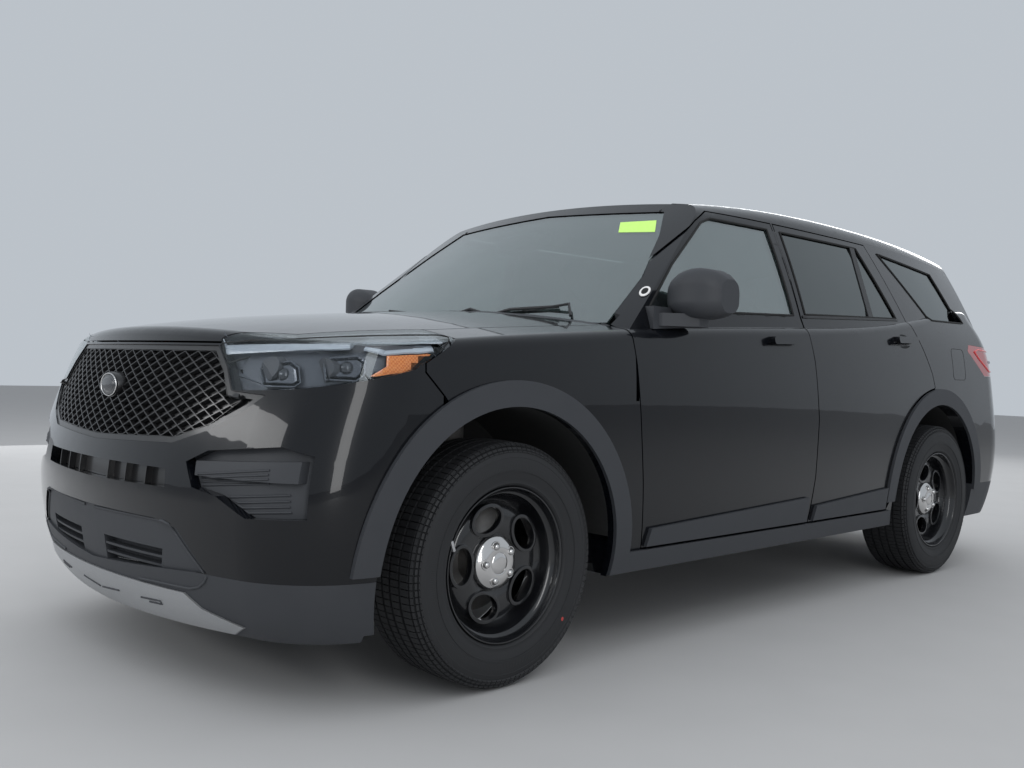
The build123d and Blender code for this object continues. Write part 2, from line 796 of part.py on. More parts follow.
def tailgate_glass():
    glass = common(
        cut(between_screens(GLASS_RECESS), between_screens(GLASS_RECESS + GLASS)),
        front_cutter(mirrored_points(TAIL_WINDOW_HALF), TAILGATE_CUT, FAR, 0, -SEAT),
        tunnel(2),
    )
    return biggest(glass)


def rear_bumper_region(grow, bottom=0.0):
    side = [(1860, bottom), (1860, 700), (2050, BUMPER_SHELF - 8), (2700, BUMPER_SHELF - 8), (2700, bottom)]
    return side_cutter(side, -FAR, FAR, 0, grow)


def rear_bumper_space(grow):
    return cut(rear_bumper_region(grow), walls(REAR_COVER + grow))


def rear_bumper():
    """The rear bumper cover, wrapping round to the rear arches."""
    return biggest(cut(skin(rear_bumper_region(0, REAR_FASCIA_TOP), 0, REAR_COVER), arch_cuts(ARCH_INNER)))


def rear_fascia():
    tips = joined(*(
        rear_tube(x, 2300, 2700, TAILPIPE_Z, TAILPIPE_RADIUS + TAILPIPE_ROOM) for x in (-TAILPIPE_X, TAILPIPE_X)
    ))
    band = block(-FAR, FAR, 1860, FAR, 250, REAR_FASCIA_TOP - SEAT)
    return biggest(cut(skin(band, 0, REAR_COVER), arch_cuts(ARCH_INNER), tips))


def rear_tube(x, y0, y1, z, radius):
    with BuildPart() as pipe:
        with BuildSketch(across(y1)):
            with Locations((x, z)):
                Circle(radius)
        extrude(amount=y1 - y0)
    return pipe.part


def tail_lamp_region(grow):
    side = [(1815, 1150), (1845, 1186), (2700, 1160), (2700, 1020), (2010, 1020)]
    inner_edge = 742 + SHUT_GAP + 1 - grow
    return common(side_cutter(side, 500, FAR, 0, grow), block(inner_edge, FAR, 1700, FAR, 900, 1300))


def tail_lamp_space(grow):
    return cut(tail_lamp_region(grow), walls(REAR_COVER + grow))


def tail_lamps():
    return both_sides(skin(tail_lamp_region(0), 0, REAR_COVER))


# Cladding on the body

def body_cladding():
    """Matt arch mouldings and sill covers, left and right."""
    pieces = []
    for axle, rear_foot in ((FRONT_AXLE, SILL_BOTTOM + 5), (REAR_AXLE, 470)):
        band = cut(
            wheel_cylinder(ARCH_OUTER, axle, 500, FAR),
            wheel_cylinder(ARCH_INNER, axle, 400, FAR),
            block(0, FAR, axle - 700, axle, 0, ARCH_FOOT),
            block(0, FAR, axle, axle + 700, 0, rear_foot if axle == FRONT_AXLE else ARCH_FOOT),
        )
        pieces.append(band)
    sill = side_cutter([(-1130, SILL_BOTTOM + 5), (-1060, DOOR_BOTTOM - 6), (880, DOOR_BOTTOM - 6), (900, SILL_BOTTOM + 5)], 500, FAR)
    sill = cut(sill, wheel_cylinder(ARCH_INNER, FRONT_AXLE, 400, FAR), wheel_cylinder(ARCH_INNER, REAR_AXLE, 400, FAR))
    return both_sides(sound(skin(joined(*pieces, sill), -CLADDING, -SEAT)))


# Underbody

def liner(axle, inner_x, wall):
    """A wheelhouse: half tube over the tyre and a wall inboard of it, out to the body's wall."""
    shell = cut(
        wheel_cylinder(ARCH_INNER + LINER, axle, inner_x, FAR),
        wheel_cylinder(ARCH_INNER, axle, inner_x + LINER, FAR + 1),
        block(0, FAR, axle - 600, axle + 600, 0, 420),
        block(0, inner_x + LINER, axle - 600, axle + 600, 0, 640),
    )
    return biggest(common(shell, walls(wall + SEAT)))


def floor_pan():
    """Floor, firewall, front rails, load floor and tail panel in one welding."""
    half = 900.0
    front_half = FIREWALL_HALF - SEAT
    narrow = 565.0
    load_front, load_back = 880.0, 2424.0
    with BuildPart() as pan:
        with BuildSketch(Plane.XY.offset(FLOOR_BOTTOM)):
            Polygon(
                (-front_half, FIREWALL), (front_half, FIREWALL), (front_half, FIREWALL + 25 + SEAT),
                (half, FIREWALL + 25 + SEAT), (half, load_front), (-half, load_front),
                (-half, FIREWALL + 25 + SEAT), (-front_half, FIREWALL + 25 + SEAT), align=None,
            )
        extrude(amount=FLOOR_TOP - FLOOR_BOTTOM)
        add(block(-front_half, front_half, FIREWALL, FIREWALL + 25, FLOOR_BOTTOM, 1075))
        add(block(-150, 150, FIREWALL, 450, FLOOR_TOP - 1, FLOOR_TOP + 95))
        add(block(-narrow, narrow, load_front - 25, load_front, FLOOR_BOTTOM, LOAD_FLOOR))
        add(block(-narrow, narrow, load_front - 25, load_back, LOAD_FLOOR - 50, LOAD_FLOOR))
        add(block(-narrow, narrow, load_back - 40, load_back, LOAD_FLOOR - 150, BUMPER_SHELF - 10))
        for side in (-1, 1):
            with Locations((side * 440, (Y_NOSE + 210 + FIREWALL) / 2, RAIL_Z)):
                Box(80, FIREWALL - Y_NOSE - 210, 120)
        with Locations((0, Y_NOSE + 180, RAIL_Z)):
            Box(1100, 60, 120)
        add(walls(DOOR_WALL + SEAT), mode=Mode.INTERSECT)
    return pan.part


def radiator():
    with BuildPart() as core:
        with Locations((0, Y_NOSE + 250, RAIL_Z + 60 + SEAT + 180)):
            Box(860, 60, 360)
    return core.part


def engine():
    with BuildPart() as lump:
        with Locations((0, -1580, SUBFRAME_TOP + SEAT + 265)):
            Box(560, 720, 530)
    return lump.part


def wheel_rim(axle):
    """Pressed steel wheel with five hand holes, hub cap, hub and brake disc, on the left side."""
    face = HALF_TRACK + 38
    inner = HALF_TRACK - 118
    disc = HALF_TRACK - 62
    with BuildPart() as rim:
        with BuildSketch(Plane.XY):
            # half section: X across the car, Y the radius
            Polygon(
                (inner, RIM_RADIUS), (face + 70, RIM_RADIUS), (face + 20, RIM_RADIUS - 30), (face + 2, 182),
                (face + 30, 145), (face + 24, 92), (face + 44, 84), (face + 58, 0), (disc - 38, 0),
                (disc - 38, STUB_RADIUS), (disc, STUB_RADIUS), (disc, 165), (disc + 28, 165), (disc + 28, 76),
                (face - 4, 76), (face + 14, 145), (face - 14, 182), (face - 4, RIM_RADIUS - 38),
                (inner, RIM_RADIUS - 30), align=None,
            )
        revolve(axis=Axis.X)
        for k in range(5):
            with BuildSketch(Plane.YZ.offset(face - 20)):
                with PolarLocations(143, 1, start_angle=90 + 72 * k):
                    SlotOverall(84, 56, rotation=90)
            extrude(amount=120, mode=Mode.SUBTRACT)
    return biggest(rim.part).moved(Location((0, axle, WHEEL_Z)))


TREAD_HALF = 100.0
SHOULDER_DROP = 9.0
GROOVE_DEPTH = 8.0
GROOVES = ((-48, -38), (38, 48))


def tyre(axle):
    """Closed tyre section with a bulged sidewall, a rounded shoulder and two main grooves."""
    half = TYRE_WIDTH / 2
    bead = RIM_RADIUS + SEAT
    shoulder = TYRE_RADIUS - SHOULDER_DROP
    side = [(half - 22, bead), (half - 4, bead + 28), (half, bead + 62), (half - 10, shoulder - 22), (TREAD_HALF, shoulder)]
    tread = []
    for x0, x1 in reversed(GROOVES):
        floor = TYRE_RADIUS - GROOVE_DEPTH
        tread += [(x1, TYRE_RADIUS), (x1, floor), (x0, floor), (x0, TYRE_RADIUS)]
    with BuildPart() as ring:
        with BuildSketch(Plane.XY):
            with Locations((HALF_TRACK, 0)):
                Polygon(*side, *tread, *((-x, radius) for x, radius in reversed(side)), align=None)
        revolve(axis=Axis.X)
    return ring.part.moved(Location((0, axle, WHEEL_Z)))


def knuckle():
    """Left front upright on the kingpin line, with strut, steering arm and brake caliper."""
    with BuildPart() as upright:
        with BuildSketch(Plane.YZ.offset(HALF_TRACK - 140)):
            with Locations((FRONT_AXLE, WHEEL_Z)):
                Circle(72)
        extrude(amount=60)
        with Locations((KING_X - 12, FRONT_AXLE, WHEEL_Z - 10)):
            Box(KNUCKLE_WIDTH, 90, KNUCKLE_HEIGHT)
        with BuildSketch(Plane.XY.offset(WHEEL_Z + 60)):
            with Locations((STRUT_X, FRONT_AXLE)):
                Circle(25)
        extrude(amount=STRUT_TOP - WHEEL_Z - 60)
        with BuildSketch(Plane.XY.offset(WHEEL_Z + 230)):
            with Locations((STRUT_X, FRONT_AXLE)):
                Circle(45)
        extrude(amount=STRUT_TOP - WHEEL_Z - 250)
        with Locations((KING_X - 45, FRONT_AXLE, WHEEL_Z + 90)):
            Box(90, 60, 50)
        with Locations((KING_X - 40, FRONT_AXLE + 85, WHEEL_Z - 60)):
            Box(50, 110, 26)
        with Locations((HALF_TRACK - 58, FRONT_AXLE - 152, WHEEL_Z + 10)):
            Box(72, 70, 120)
        with Locations((HALF_TRACK - 98, FRONT_AXLE - 85, WHEEL_Z + 10)):
            Box(24, 170, 60)
        # running fits: the ball pin, the wheel's stub and its brake disc
        with BuildSketch(Plane.XY.offset(KNUCKLE_FOOT)):
            with Locations((KING_X, FRONT_AXLE)):
                Circle(BALL_PIN_RADIUS + SEAT)
        extrude(amount=BALL_PIN_REACH + SEAT, mode=Mode.SUBTRACT)
        with BuildSketch(Plane.YZ.offset(HALF_TRACK - 200)):
            with Locations((FRONT_AXLE, WHEEL_Z)):
                Circle(STUB_RADIUS + SEAT)
        extrude(amount=200, mode=Mode.SUBTRACT)
        with BuildSketch(Plane.YZ.offset(HALF_TRACK - 68)):
            with Locations((FRONT_AXLE, WHEEL_Z)):
                Circle(171)
        extrude(amount=40, mode=Mode.SUBTRACT)
    return biggest(upright.part)


def front_subframe():
    """Cross-member with a lower arm and ball pin for each side."""
    with BuildPart() as frame:
        with Locations((0, FRONT_AXLE, SUBFRAME_TOP - 55)):
            Box(900, 300, 110)
        for side in (-1, 1):
            with BuildSketch(Plane.XY.offset(ARM_BOTTOM)):
                Polygon((side * 420, FRONT_AXLE - 140), (side * 420, FRONT_AXLE + 140),
                        (side * KING_X, FRONT_AXLE + 26), (side * KING_X, FRONT_AXLE - 26), align=None)
                with Locations((side * KING_X, FRONT_AXLE)):
                    Circle(26)
            extrude(amount=ARM_TOP - ARM_BOTTOM)
            add(block(side * 435 - 15, side * 435 + 15, FRONT_AXLE - 130, FRONT_AXLE + 130, ARM_BOTTOM, SUBFRAME_TOP))
            with BuildSketch(Plane.XY.offset(ARM_TOP)):
                with Locations((side * KING_X, FRONT_AXLE)):
                    Circle(BALL_PIN_RADIUS)
            extrude(amount=KNUCKLE_FOOT - ARM_TOP + BALL_PIN_REACH)
            with Locations((side * 440, FRONT_AXLE, 402)):
                Box(80, 260, 75)
    return frame.part


def rear_suspension():
    """Rear cross-member, arms and the uprights that carry the rear wheels."""
    with BuildPart() as frame:
        with Locations((0, REAR_AXLE, 350)):
            Box(900, 320, 90)
        with Locations((0, REAR_AXLE, (350 + LOAD_FLOOR - 50 - SEAT) / 2)):
            Box(300, 260, LOAD_FLOOR - 50 - SEAT - 350)
        for side in (-1, 1):
            with Locations((side * 560, REAR_AXLE, 300)):
                Box(340, 90, 40)
            with Locations((side * (HALF_TRACK - 112), REAR_AXLE, WHEEL_Z - 20)):
                Box(44, 110, 220)
            with BuildSketch(Plane.XY.offset(440)):
                with Locations((side * STRUT_X, REAR_AXLE)):
                    Circle(40)
            extrude(amount=STRUT_TOP - 440)
            with Locations((side * 700, REAR_AXLE, 450)):
                Box(110, 70, 60)
            with BuildSketch(Plane.YZ.offset(side * (HALF_TRACK - 150) if side > 0 else -HALF_TRACK + 50)):
                with Locations((REAR_AXLE, WHEEL_Z)):
                    Circle(STUB_RADIUS + SEAT)
            extrude(amount=100, mode=Mode.SUBTRACT)
    return frame.part


def exhaust():
    with BuildPart() as system:
        with Locations((0, 2090, 375)):
            Box(900, 190, 120)
        with Locations((0, 2090, (375 + LOAD_FLOOR - 50 - SEAT) / 2)):
            Box(120, 60, LOAD_FLOOR - 50 - SEAT - 375)
        with BuildSketch(across(2030)):
            with Locations((200, PIPE_Z)):
                Circle(32)
        extrude(amount=3200)
        with Locations((200, 2030, 300)):
            Box(64, 60, 90)
        for side in (-1, 1):
            with BuildSketch(across(2480)):
                with Locations((side * TAILPIPE_X, TAILPIPE_Z)):
                    Circle(TAILPIPE_RADIUS)
            extrude(amount=420)
            with Locations((side * (TAILPIPE_X - 50), 2090, 330)):
                Box(160, 90, 60)
    return system.part


# Interior

def front_seats():
    with BuildPart() as seats:
        for side in (-1, 1):
            middle = side * 385
            with Locations((middle, -190, 560)):
                Box(500, 500, 150)
            with BuildSketch(Plane.YZ.offset(middle - 240)):
                Polygon((40, 500), (170, 520), (330, 1160), (230, 1180), align=None)
            extrude(amount=480)
            with Locations((middle, 320, 1260)):
                Box(260, 90, 170)
            with Locations((middle, 300, 1170)):
                Box(60, 40, 40)
            add(block(middle - 220, middle + 220, -340, 40, FLOOR_TOP + SEAT, 487))
    return seats.part


def rear_seat():
    """Bench cushion on the floor and a backrest on the load floor's step."""
    with BuildPart() as bench:
        add(block(-650, 650, 400, 850, 480, 640))
        add(block(-600, 600, 600, 850, FLOOR_TOP + SEAT, 480))
        with BuildSketch(Plane.YZ.offset(-562)):
            Polygon(
                (885, LOAD_FLOOR + SEAT), (1010, LOAD_FLOOR + SEAT), (1140, 1150), (1040, 1170), align=None,
            )
        extrude(amount=1124)
        for x in (-380, 380):
            with Locations((x, 1110, 1225)):
                Box(260, 80, 150)
    return bench.part


def dashboard():
    with BuildPart() as dash:
        with BuildSketch(Plane.YZ.offset(-790)):
            Polygon(
                (FIREWALL + 25 + SEAT, 700), (-820, 700), (-760, 860), (-730, 1040), (-800, 1120),
                (FIREWALL + 25 + SEAT, 1120), align=None,
            )
        extrude(amount=1580)
        add(block(-120, 120, -900, -450, FLOOR_TOP + 95 + SEAT, 705))
    return biggest(common(dash.part, joined(lower_form(DOOR_WALL + 4), cabin_form(FRAME_WALL + 4, SCREEN_WALL + 4))))


def steering_wheel():
    tilt = Plane(origin=(385, -600, 1010), x_dir=(1, 0, 0), z_dir=(0, cos(radians(65)), sin(radians(25))))
    with BuildPart() as wheel:
        with BuildSketch(Plane(origin=tilt.origin, x_dir=tilt.z_dir, z_dir=tilt.x_dir)):
            with Locations((0, 180)):
                RegularPolygon(16, 6)
        revolve(axis=Axis(tilt.origin, tilt.z_dir))
        with BuildSketch(tilt.offset(-10)):
            Rectangle(350, 36)
            Circle(60)
        extrude(amount=20)
        with BuildSketch(tilt.offset(-190)):
            Circle(28)
        extrude(amount=190)
    return wheel.part


def build():
    os.makedirs("parts", exist_ok=True)
    left_side = body_side()
    left_wing = wing()
    pieces = {
        "bonnet": bonnet(),
        "front_bumper": front_bumper(),
        "front_fascia": front_fascia(),
        "skid_plate": skid_plate(),
        "grille": joined(grille(), upper_slot()),
        "lower_grille": lower_grille(),
        "fog_bezels": fog_bezels(),
        "headlamp_lenses": headlamp_lens(),
        "headlamp_housings": headlamp_housing(),
        "wing_left": left_wing,
        "wing_right": right_of(left_wing),
        "cowl": cowl(),
        "windscreen": windscreen(),
        "roof": roof(),
        "body_side_left": left_side,
        "body_side_right": right_of(left_side),
        "quarter_glass": both_sides(window_glass(QUARTER_WINDOW)),
        "tailgate": tailgate(),
        "tailgate_glass": tailgate_glass(),
        "tail_lamps": tail_lamps(),
        "rear_bumper": rear_bumper(),
        "rear_fascia": rear_fascia(),
        "body_cladding": body_cladding(),
        "wheel_liners": both_sides(joined(liner(FRONT_AXLE, 500, PANEL), liner(REAR_AXLE, 580, ARCH_WALL))),
        "floor_pan": floor_pan(),
        "radiator": radiator(),
        "engine": engine(),
        "front_subframe": front_subframe(),
        "rear_suspension": rear_suspension(),
        "exhaust": exhaust(),
        "front_seats": front_seats(),
        "rear_seat": rear_seat(),
        "dashboard": dashboard(),
        "steering_wheel": steering_wheel(),
    }
    sided = {
        "front_door": door(FRONT_DOOR, FRONT_WINDOW, FRONT_HANDLE),
        "front_door_glass": window_glass(FRONT_WINDOW),
        "front_door_cladding": door_cladding(-975, 100),
        "mirror": door_mirror(),
        "rear_door": door(REAR_DOOR, REAR_WINDOW, REAR_HANDLE),
        "rear_door_glass": window_glass(REAR_WINDOW),
        "rear_door_cladding": door_cladding(150, 900),
        "knuckle": knuckle(),
        "wheel_front": wheel_rim(FRONT_AXLE),
        "wheel_rear": wheel_rim(REAR_AXLE),
        "tyre_front": tyre(FRONT_AXLE),
        "tyre_rear": tyre(REAR_AXLE),
    }
    for name, part in sided.items():
        pieces[f"{name}_left"] = part
        pieces[f"{name}_right"] = right_of(part)
    for name, part in pieces.items():
        write(part, name)


if __name__ == "__main__":
    build()
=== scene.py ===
from math import cos, pi, radians, sin

import bmesh
import bpy
from mathutils import Matrix, Vector
from mathutils.bvhtree import BVHTree


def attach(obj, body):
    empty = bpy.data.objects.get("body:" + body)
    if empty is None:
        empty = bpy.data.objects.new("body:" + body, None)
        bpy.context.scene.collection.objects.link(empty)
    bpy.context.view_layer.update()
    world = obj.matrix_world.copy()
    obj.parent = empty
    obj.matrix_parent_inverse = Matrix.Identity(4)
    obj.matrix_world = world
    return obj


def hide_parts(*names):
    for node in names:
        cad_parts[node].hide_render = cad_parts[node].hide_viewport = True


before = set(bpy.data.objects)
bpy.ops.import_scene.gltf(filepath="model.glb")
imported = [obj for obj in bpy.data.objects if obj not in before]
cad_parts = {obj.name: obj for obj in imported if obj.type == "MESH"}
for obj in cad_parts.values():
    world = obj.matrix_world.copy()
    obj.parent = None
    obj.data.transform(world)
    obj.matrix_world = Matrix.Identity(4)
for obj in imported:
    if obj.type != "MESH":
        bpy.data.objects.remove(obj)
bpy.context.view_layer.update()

# Studio: a pale floor that carries the car's shadow, a pale wall colour that only the
# camera and clear or polished surfaces see, and soft lamps overhead and at the sides.
class Wire:
    """A socket of a material; sums and products of wires add Math nodes."""

    def __init__(self, socket):
        self.socket = socket

    def node(self, kind, settings, inputs, output=0):
        """Adds a node: its settings first, then a value or a wire for each named input."""
        tree = self.socket.id_data
        made = tree.nodes.new("ShaderNode" + kind)
        for name, value in settings.items():
            setattr(made, name, value)
        for name, value in inputs.items():
            plug(made.inputs[name], value)
        return Wire(made.outputs[output])

    def maths(self, operation, *values):
        return self.node("Math", {"operation": operation}, dict(enumerate(values)))

    def __add__(self, other):
        return self.maths("ADD", self, other)

    def __rsub__(self, other):
        return self.maths("SUBTRACT", other, self)

    def __mul__(self, other):
        return self.maths("MULTIPLY", self, other)

    def __gt__(self, other):
        return self.maths("GREATER_THAN", self, other)

    __radd__, __rmul__ = __add__, __mul__

    def noise(self, scale, detail=2.0):
        """Soft noise from 0 to 1 over these coordinates."""
        return self.node("TexNoise", {}, {"Vector": self, "Scale": scale, "Detail": detail})

    def blend(self, dark, light):
        """A colour between two, by this wire."""
        return self.node("Mix", {"data_type": "RGBA"}, {0: self, 6: dark, 7: light}, 2)

    def bump(self, depth, strength=1.0):
        """A normal from this height, which stands depth metres proud at 1."""
        return self.node("Bump", {}, {"Height": self, "Distance": depth, "Strength": strength})

    def along(self, axis):
        """One coordinate of these coordinates."""
        return self.node("SeparateXYZ", {}, {0: self}, "XYZ".index(axis))


def plug(socket, value):
    """Gives a socket a wire or a plain value."""
    if isinstance(value, Wire):
        socket.id_data.links.new(value.socket, socket)
    elif isinstance(value, tuple) and len(value) == 3 and len(socket.default_value) == 4:
        socket.default_value = (*value, 1)
    else:
        socket.default_value = value


def new_finish(name):
    """An empty material: itself, its Principled shader and its Object coordinates."""
    material = bpy.data.materials.new(name)
    material.use_nodes = True
    shader = material.node_tree.nodes["Principled BSDF"]
    place = material.node_tree.nodes.new("ShaderNodeTexCoord").outputs["Object"]
    return material, shader, Wire(place)


def fill(shader, **values):
    """Sets the shader's sockets: base_color=, coat_weight= and so on."""
    for name, value in values.items():
        plug(shader.inputs[name.replace("_", " ").title().replace("Ior", "IOR")], value)


WALL_TONE = (0.50, 0.54, 0.585)
AIR_TONE = (0.52, 0.54, 0.57)
FLOOR_TONE = (0.40, 0.405, 0.41)
studio_world = bpy.data.worlds.new("studio air")
bpy.context.scene.world = studio_world
studio_world.use_nodes = True
air = studio_world.node_tree.nodes["Background"]
paths = studio_world.node_tree.nodes.new("ShaderNodeLightPath")
seen = (
    Wire(paths.outputs["Is Camera Ray"]) + Wire(paths.outputs["Is Glossy Ray"])
    + Wire(paths.outputs["Is Transmission Ray"])
)
plug(air.inputs["Color"], seen.blend(AIR_TONE, WALL_TONE))
air.inputs["Strength"].default_value = 1.0

bpy.ops.object.select_all(action="DESELECT")
bpy.ops.mesh.primitive_plane_add(size=60, location=(0, 0, 0))
floor = bpy.context.object
floor.name = "studio_floor"
floor_finish, floor_shader, place = new_finish("pale floor")
fill(floor_shader, base_color=place.noise(3).blend(FLOOR_TONE, (0.43, 0.435, 0.44)), roughness=0.85)
floor.data.materials.append(floor_finish)

SOFT_LAMPS = (
    # name, place, aim, width, length, watts, shows in polished surfaces
    ("overhead", (0.0, -0.5, 7.0), (0, -0.5, 0), 18.0, 20.0, 760, False),
    ("left_bank", (7.5, -4.5, 3.6), (0.6, -0.4, 0.7), 1.4, 7.0, 140, True),
    ("nose_bank", (-1.5, -9.0, 3.6), (0, -2.0, 0.6), 7.0, 1.2, 130, True),
    ("right_bank", (-7.0, 0.5, 3.2), (0, 0, 0.6), 4.0, 9.0, 130, False),
    ("tail_bank", (-3.5, 9.0, 3.8), (0, 2.0, 0.8), 6.0, 1.6, 120, True),
)
for name, spot, aim, width, length, watts, mirrored in SOFT_LAMPS:
    lamp = bpy.data.lights.new(name, "AREA")
    lamp.shape = "RECTANGLE"
    lamp.size, lamp.size_y, lamp.energy = width, length, watts
    holder = bpy.data.objects.new(name, lamp)
    bpy.context.collection.objects.link(holder)
    holder.visible_glossy = mirrored
    facing = (Vector(aim) - Vector(spot)).to_track_quat("-Z", "Y")
    holder.matrix_world = Matrix.Translation(spot) @ facing.to_matrix().to_4x4()

# Camera: low beside the left front corner, turned and tipped as the photograph was taken,
# with the focal length in pixels that the fit to the published sizes gave.
EYE = Vector((3.176954, -3.752893, 0.974272))
YAW, PITCH, ROLL = 0.8066534, -0.01425234, 0.03134793
FOCAL, PHOTO_WIDE, PHOTO_HIGH, SENSOR = 1010.104, 1024, 768, 36
forward = Vector((-sin(YAW) * cos(PITCH), cos(YAW) * cos(PITCH), sin(PITCH)))
level = Vector((cos(YAW), sin(YAW), 0))
upward = level.cross(forward)
right = cos(ROLL) * level + sin(ROLL) * upward
top = -sin(ROLL) * level + cos(ROLL) * upward
camera = bpy.data.objects.new("photo_camera", bpy.data.cameras.new("photo_camera"))
camera.data.sensor_width = SENSOR
camera.data.lens = SENSOR * FOCAL / PHOTO_WIDE
camera.matrix_world = Matrix.Translation(EYE) @ Matrix((right, top, -forward)).transposed().to_4x4()
bpy.context.collection.objects.link(camera)
bpy.context.scene.camera = camera
bpy.context.scene.view_settings.view_transform = "Standard"


# Painted panels: pressed steel, aluminium and moulded bumpers in deep gloss black under
# clear lacquer, with the faint ripple of a sprayed coat and a little dust in soft patches.
def dress(material, *names):
    """Gives CAD nodes one material."""
    for name in names:
        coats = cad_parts[name].data.materials
        coats.clear()
        coats.append(material)


SIDES = (("left", 1), ("right", -1))
black_paint, shader, place = new_finish("gloss black paint")
dust = place.noise(9, 4)
fill(
    shader, base_color=(dust * 0.5).blend((0.0022, 0.0028, 0.0045), (0.0045, 0.0052, 0.0072)),
    roughness=0.20 + dust * 0.10, metallic=0.0, coat_weight=1.0, coat_roughness=0.02, coat_ior=1.36,
    ior=1.5, specular_ior_level=0.15, normal=place.noise(160, 1).bump(0.00002),
)
dress(
    black_paint, "bonnet", "front_bumper", "rear_bumper", "roof", "tailgate",
    *(f"{panel}_{side}" for side, sign in SIDES
      for panel in ("wing", "body_side", "front_door", "rear_door")),
)

# Grained mouldings: charcoal plastic lips, sills, door cladding and the lower bumpers,
# moulded with a fine leather grain and left unpainted.
grained, shader, place = new_finish("grained charcoal plastic")
grain = place.node("TexVoronoi", {"feature": "DISTANCE_TO_EDGE"}, {"Vector": place, "Scale": 520})
cloud = place.noise(14, 3)
fill(
    shader, base_color=cloud.blend((0.030, 0.033, 0.039), (0.038, 0.041, 0.047)),
    roughness=0.50 + cloud * 0.12, normal=grain.bump(0.0002, 0.5),
)
dress(
    grained, "front_fascia", "rear_fascia", "body_cladding", "cowl", "fog_bezels", "lower_grille",
    *(f"{panel}_{side}" for side, sign in SIDES
      for panel in ("front_door_cladding", "rear_door_cladding", "mirror")),
)

# Skid plate and grille backing: a moulded plastic plate under the nose in satin metallic
# paint, and the black moulding, a little glossy, that fills the nose opening.
def mottled(name, dark, light, grain, roughness, wear=None, relief=None, **values):
    """A finish of two tones over soft noise, with its roughness and height moved by noise.

    grain, wear and relief start with their noise's scale and detail; wear ends with how far
    it roughens, and relief with how proud it stands in metres.
    """
    material, shader, place = new_finish(name)
    if wear:
        roughness = roughness + place.noise(*wear[:2]) * wear[2]
    if relief:
        values["normal"] = place.noise(*relief[:2]).bump(relief[2])
    fill(shader, base_color=place.noise(*grain).blend(dark, light), roughness=roughness, **values)
    return material


skid_paint = mottled(
    "satin silver paint", (0.36, 0.37, 0.385), (0.50, 0.51, 0.52), (900, 0), 0.38, (20, 3, 0.1),
    (300, 1, 0.00005), metallic=0.7,
)
dress(skid_paint, "skid_plate")
mesh_black = mottled(
    "black moulded mesh", (0.008, 0.008, 0.009), (0.014, 0.014, 0.015), (60, 2), 0.26, (30, 2, 0.1),
    coat_weight=0.4, coat_roughness=0.1,
)
dress(mesh_black, "grille")


# Glazing: a laminated windscreen and toughened side panes, tinted dark in the rear doors and
# behind them. The lamps have moulded covers, clear over grey housings and red at the tail.
def pane_finish(name, tint, shine):
    """Tinted see-through glass whose polish grows towards grazing angles."""
    material, shader, place = new_finish(name)
    smear = place.noise(5, 3)
    fill(shader, base_color=smear.blend((0.72, 0.78, 0.78), (0.80, 0.85, 0.85)), metallic=1.0,
         roughness=0.005 + smear * 0.02)
    clear = place.node("BsdfTransparent", {}, {"Color": tint})
    slant = place.node("LayerWeight", {}, {"Blend": 0.5}, 1)
    edge = slant.maths("POWER", slant, 4.0)
    mix = place.node("MixShader", {}, {0: edge * (1 - shine) + shine, 1: clear, 2: Wire(shader.outputs[0])})
    plug(material.node_tree.nodes["Material Output"].inputs["Surface"], mix)
    return material


clear_pane = pane_finish("front glass", (0.50, 0.56, 0.54), 0.36)
dark_pane = pane_finish("privacy glass", (0.06, 0.065, 0.065), 0.17)
dress(clear_pane, "windscreen", "front_door_glass_left", "front_door_glass_right")
dress(dark_pane, "quarter_glass", "tailgate_glass", "rear_door_glass_left", "rear_door_glass_right")
lamp_pane = pane_finish("lamp lens", (0.93, 0.94, 0.95), 0.02)
dress(lamp_pane, "headlamp_lenses")

lamp_grey = mottled("lamp housing", (0.060, 0.064, 0.072), (0.085, 0.09, 0.10), (40, 2), 0.35)
dress(lamp_grey, "headlamp_housings")
red_lens = mottled(
    "red lamp lens", (0.30, 0.008, 0.010), (0.36, 0.012, 0.014), (30, 2), 0.12, coat_weight=1.0,
)
dress(red_lens, "tail_lamps")


# Tyres: moulded all-season rubber with five ribs of siped blocks between straight grooves,
# a notched shoulder and a ringed sidewall that carries no lettering.
def start(name, primitive, stretch=(1, 1, 1), **options):
    """Adds a primitive, stretched along its own axes, with nothing else selected."""
    bpy.ops.object.select_all(action="DESELECT")
    primitive(**options)
    piece = bpy.context.object
    piece.name = name
    piece.scale = stretch
    bpy.ops.object.transform_apply(location=True, rotation=True, scale=True)
    return piece


def run_line(name, points):
    """A chain of edges through points, begun from a plane that is merged to one vertex."""
    piece = start(name, bpy.ops.mesh.primitive_plane_add, size=0.01)
    bpy.ops.object.mode_set(mode="EDIT")
    bpy.ops.mesh.select_mode(type="VERT")
    bpy.ops.mesh.merge(type="CENTER")
    bpy.ops.transform.translate(value=points[0])
    for here, there in zip(points, points[1:]):
        step = Vector(there) - Vector(here)
        bpy.ops.mesh.extrude_region_move(TRANSFORM_OT_translate={"value": step})
    return piece


def lathe(name, profile, spot, steps):
    """A turned piece: (across, radius) points spun round the axle through spot."""
    x, y, z = spot
    piece = run_line(name, [(x + across, y, z + radius) for across, radius in profile])
    bpy.ops.mesh.select_all(action="SELECT")
    bpy.ops.mesh.spin(steps=steps, angle=2 * pi, center=spot, axis=(1, 0, 0))
    bpy.ops.mesh.select_all(action="SELECT")
    bpy.ops.mesh.remove_doubles(threshold=0.00002)
    bpy.ops.mesh.normals_make_consistent(inside=False)
    bpy.ops.object.mode_set(mode="OBJECT")
    return piece


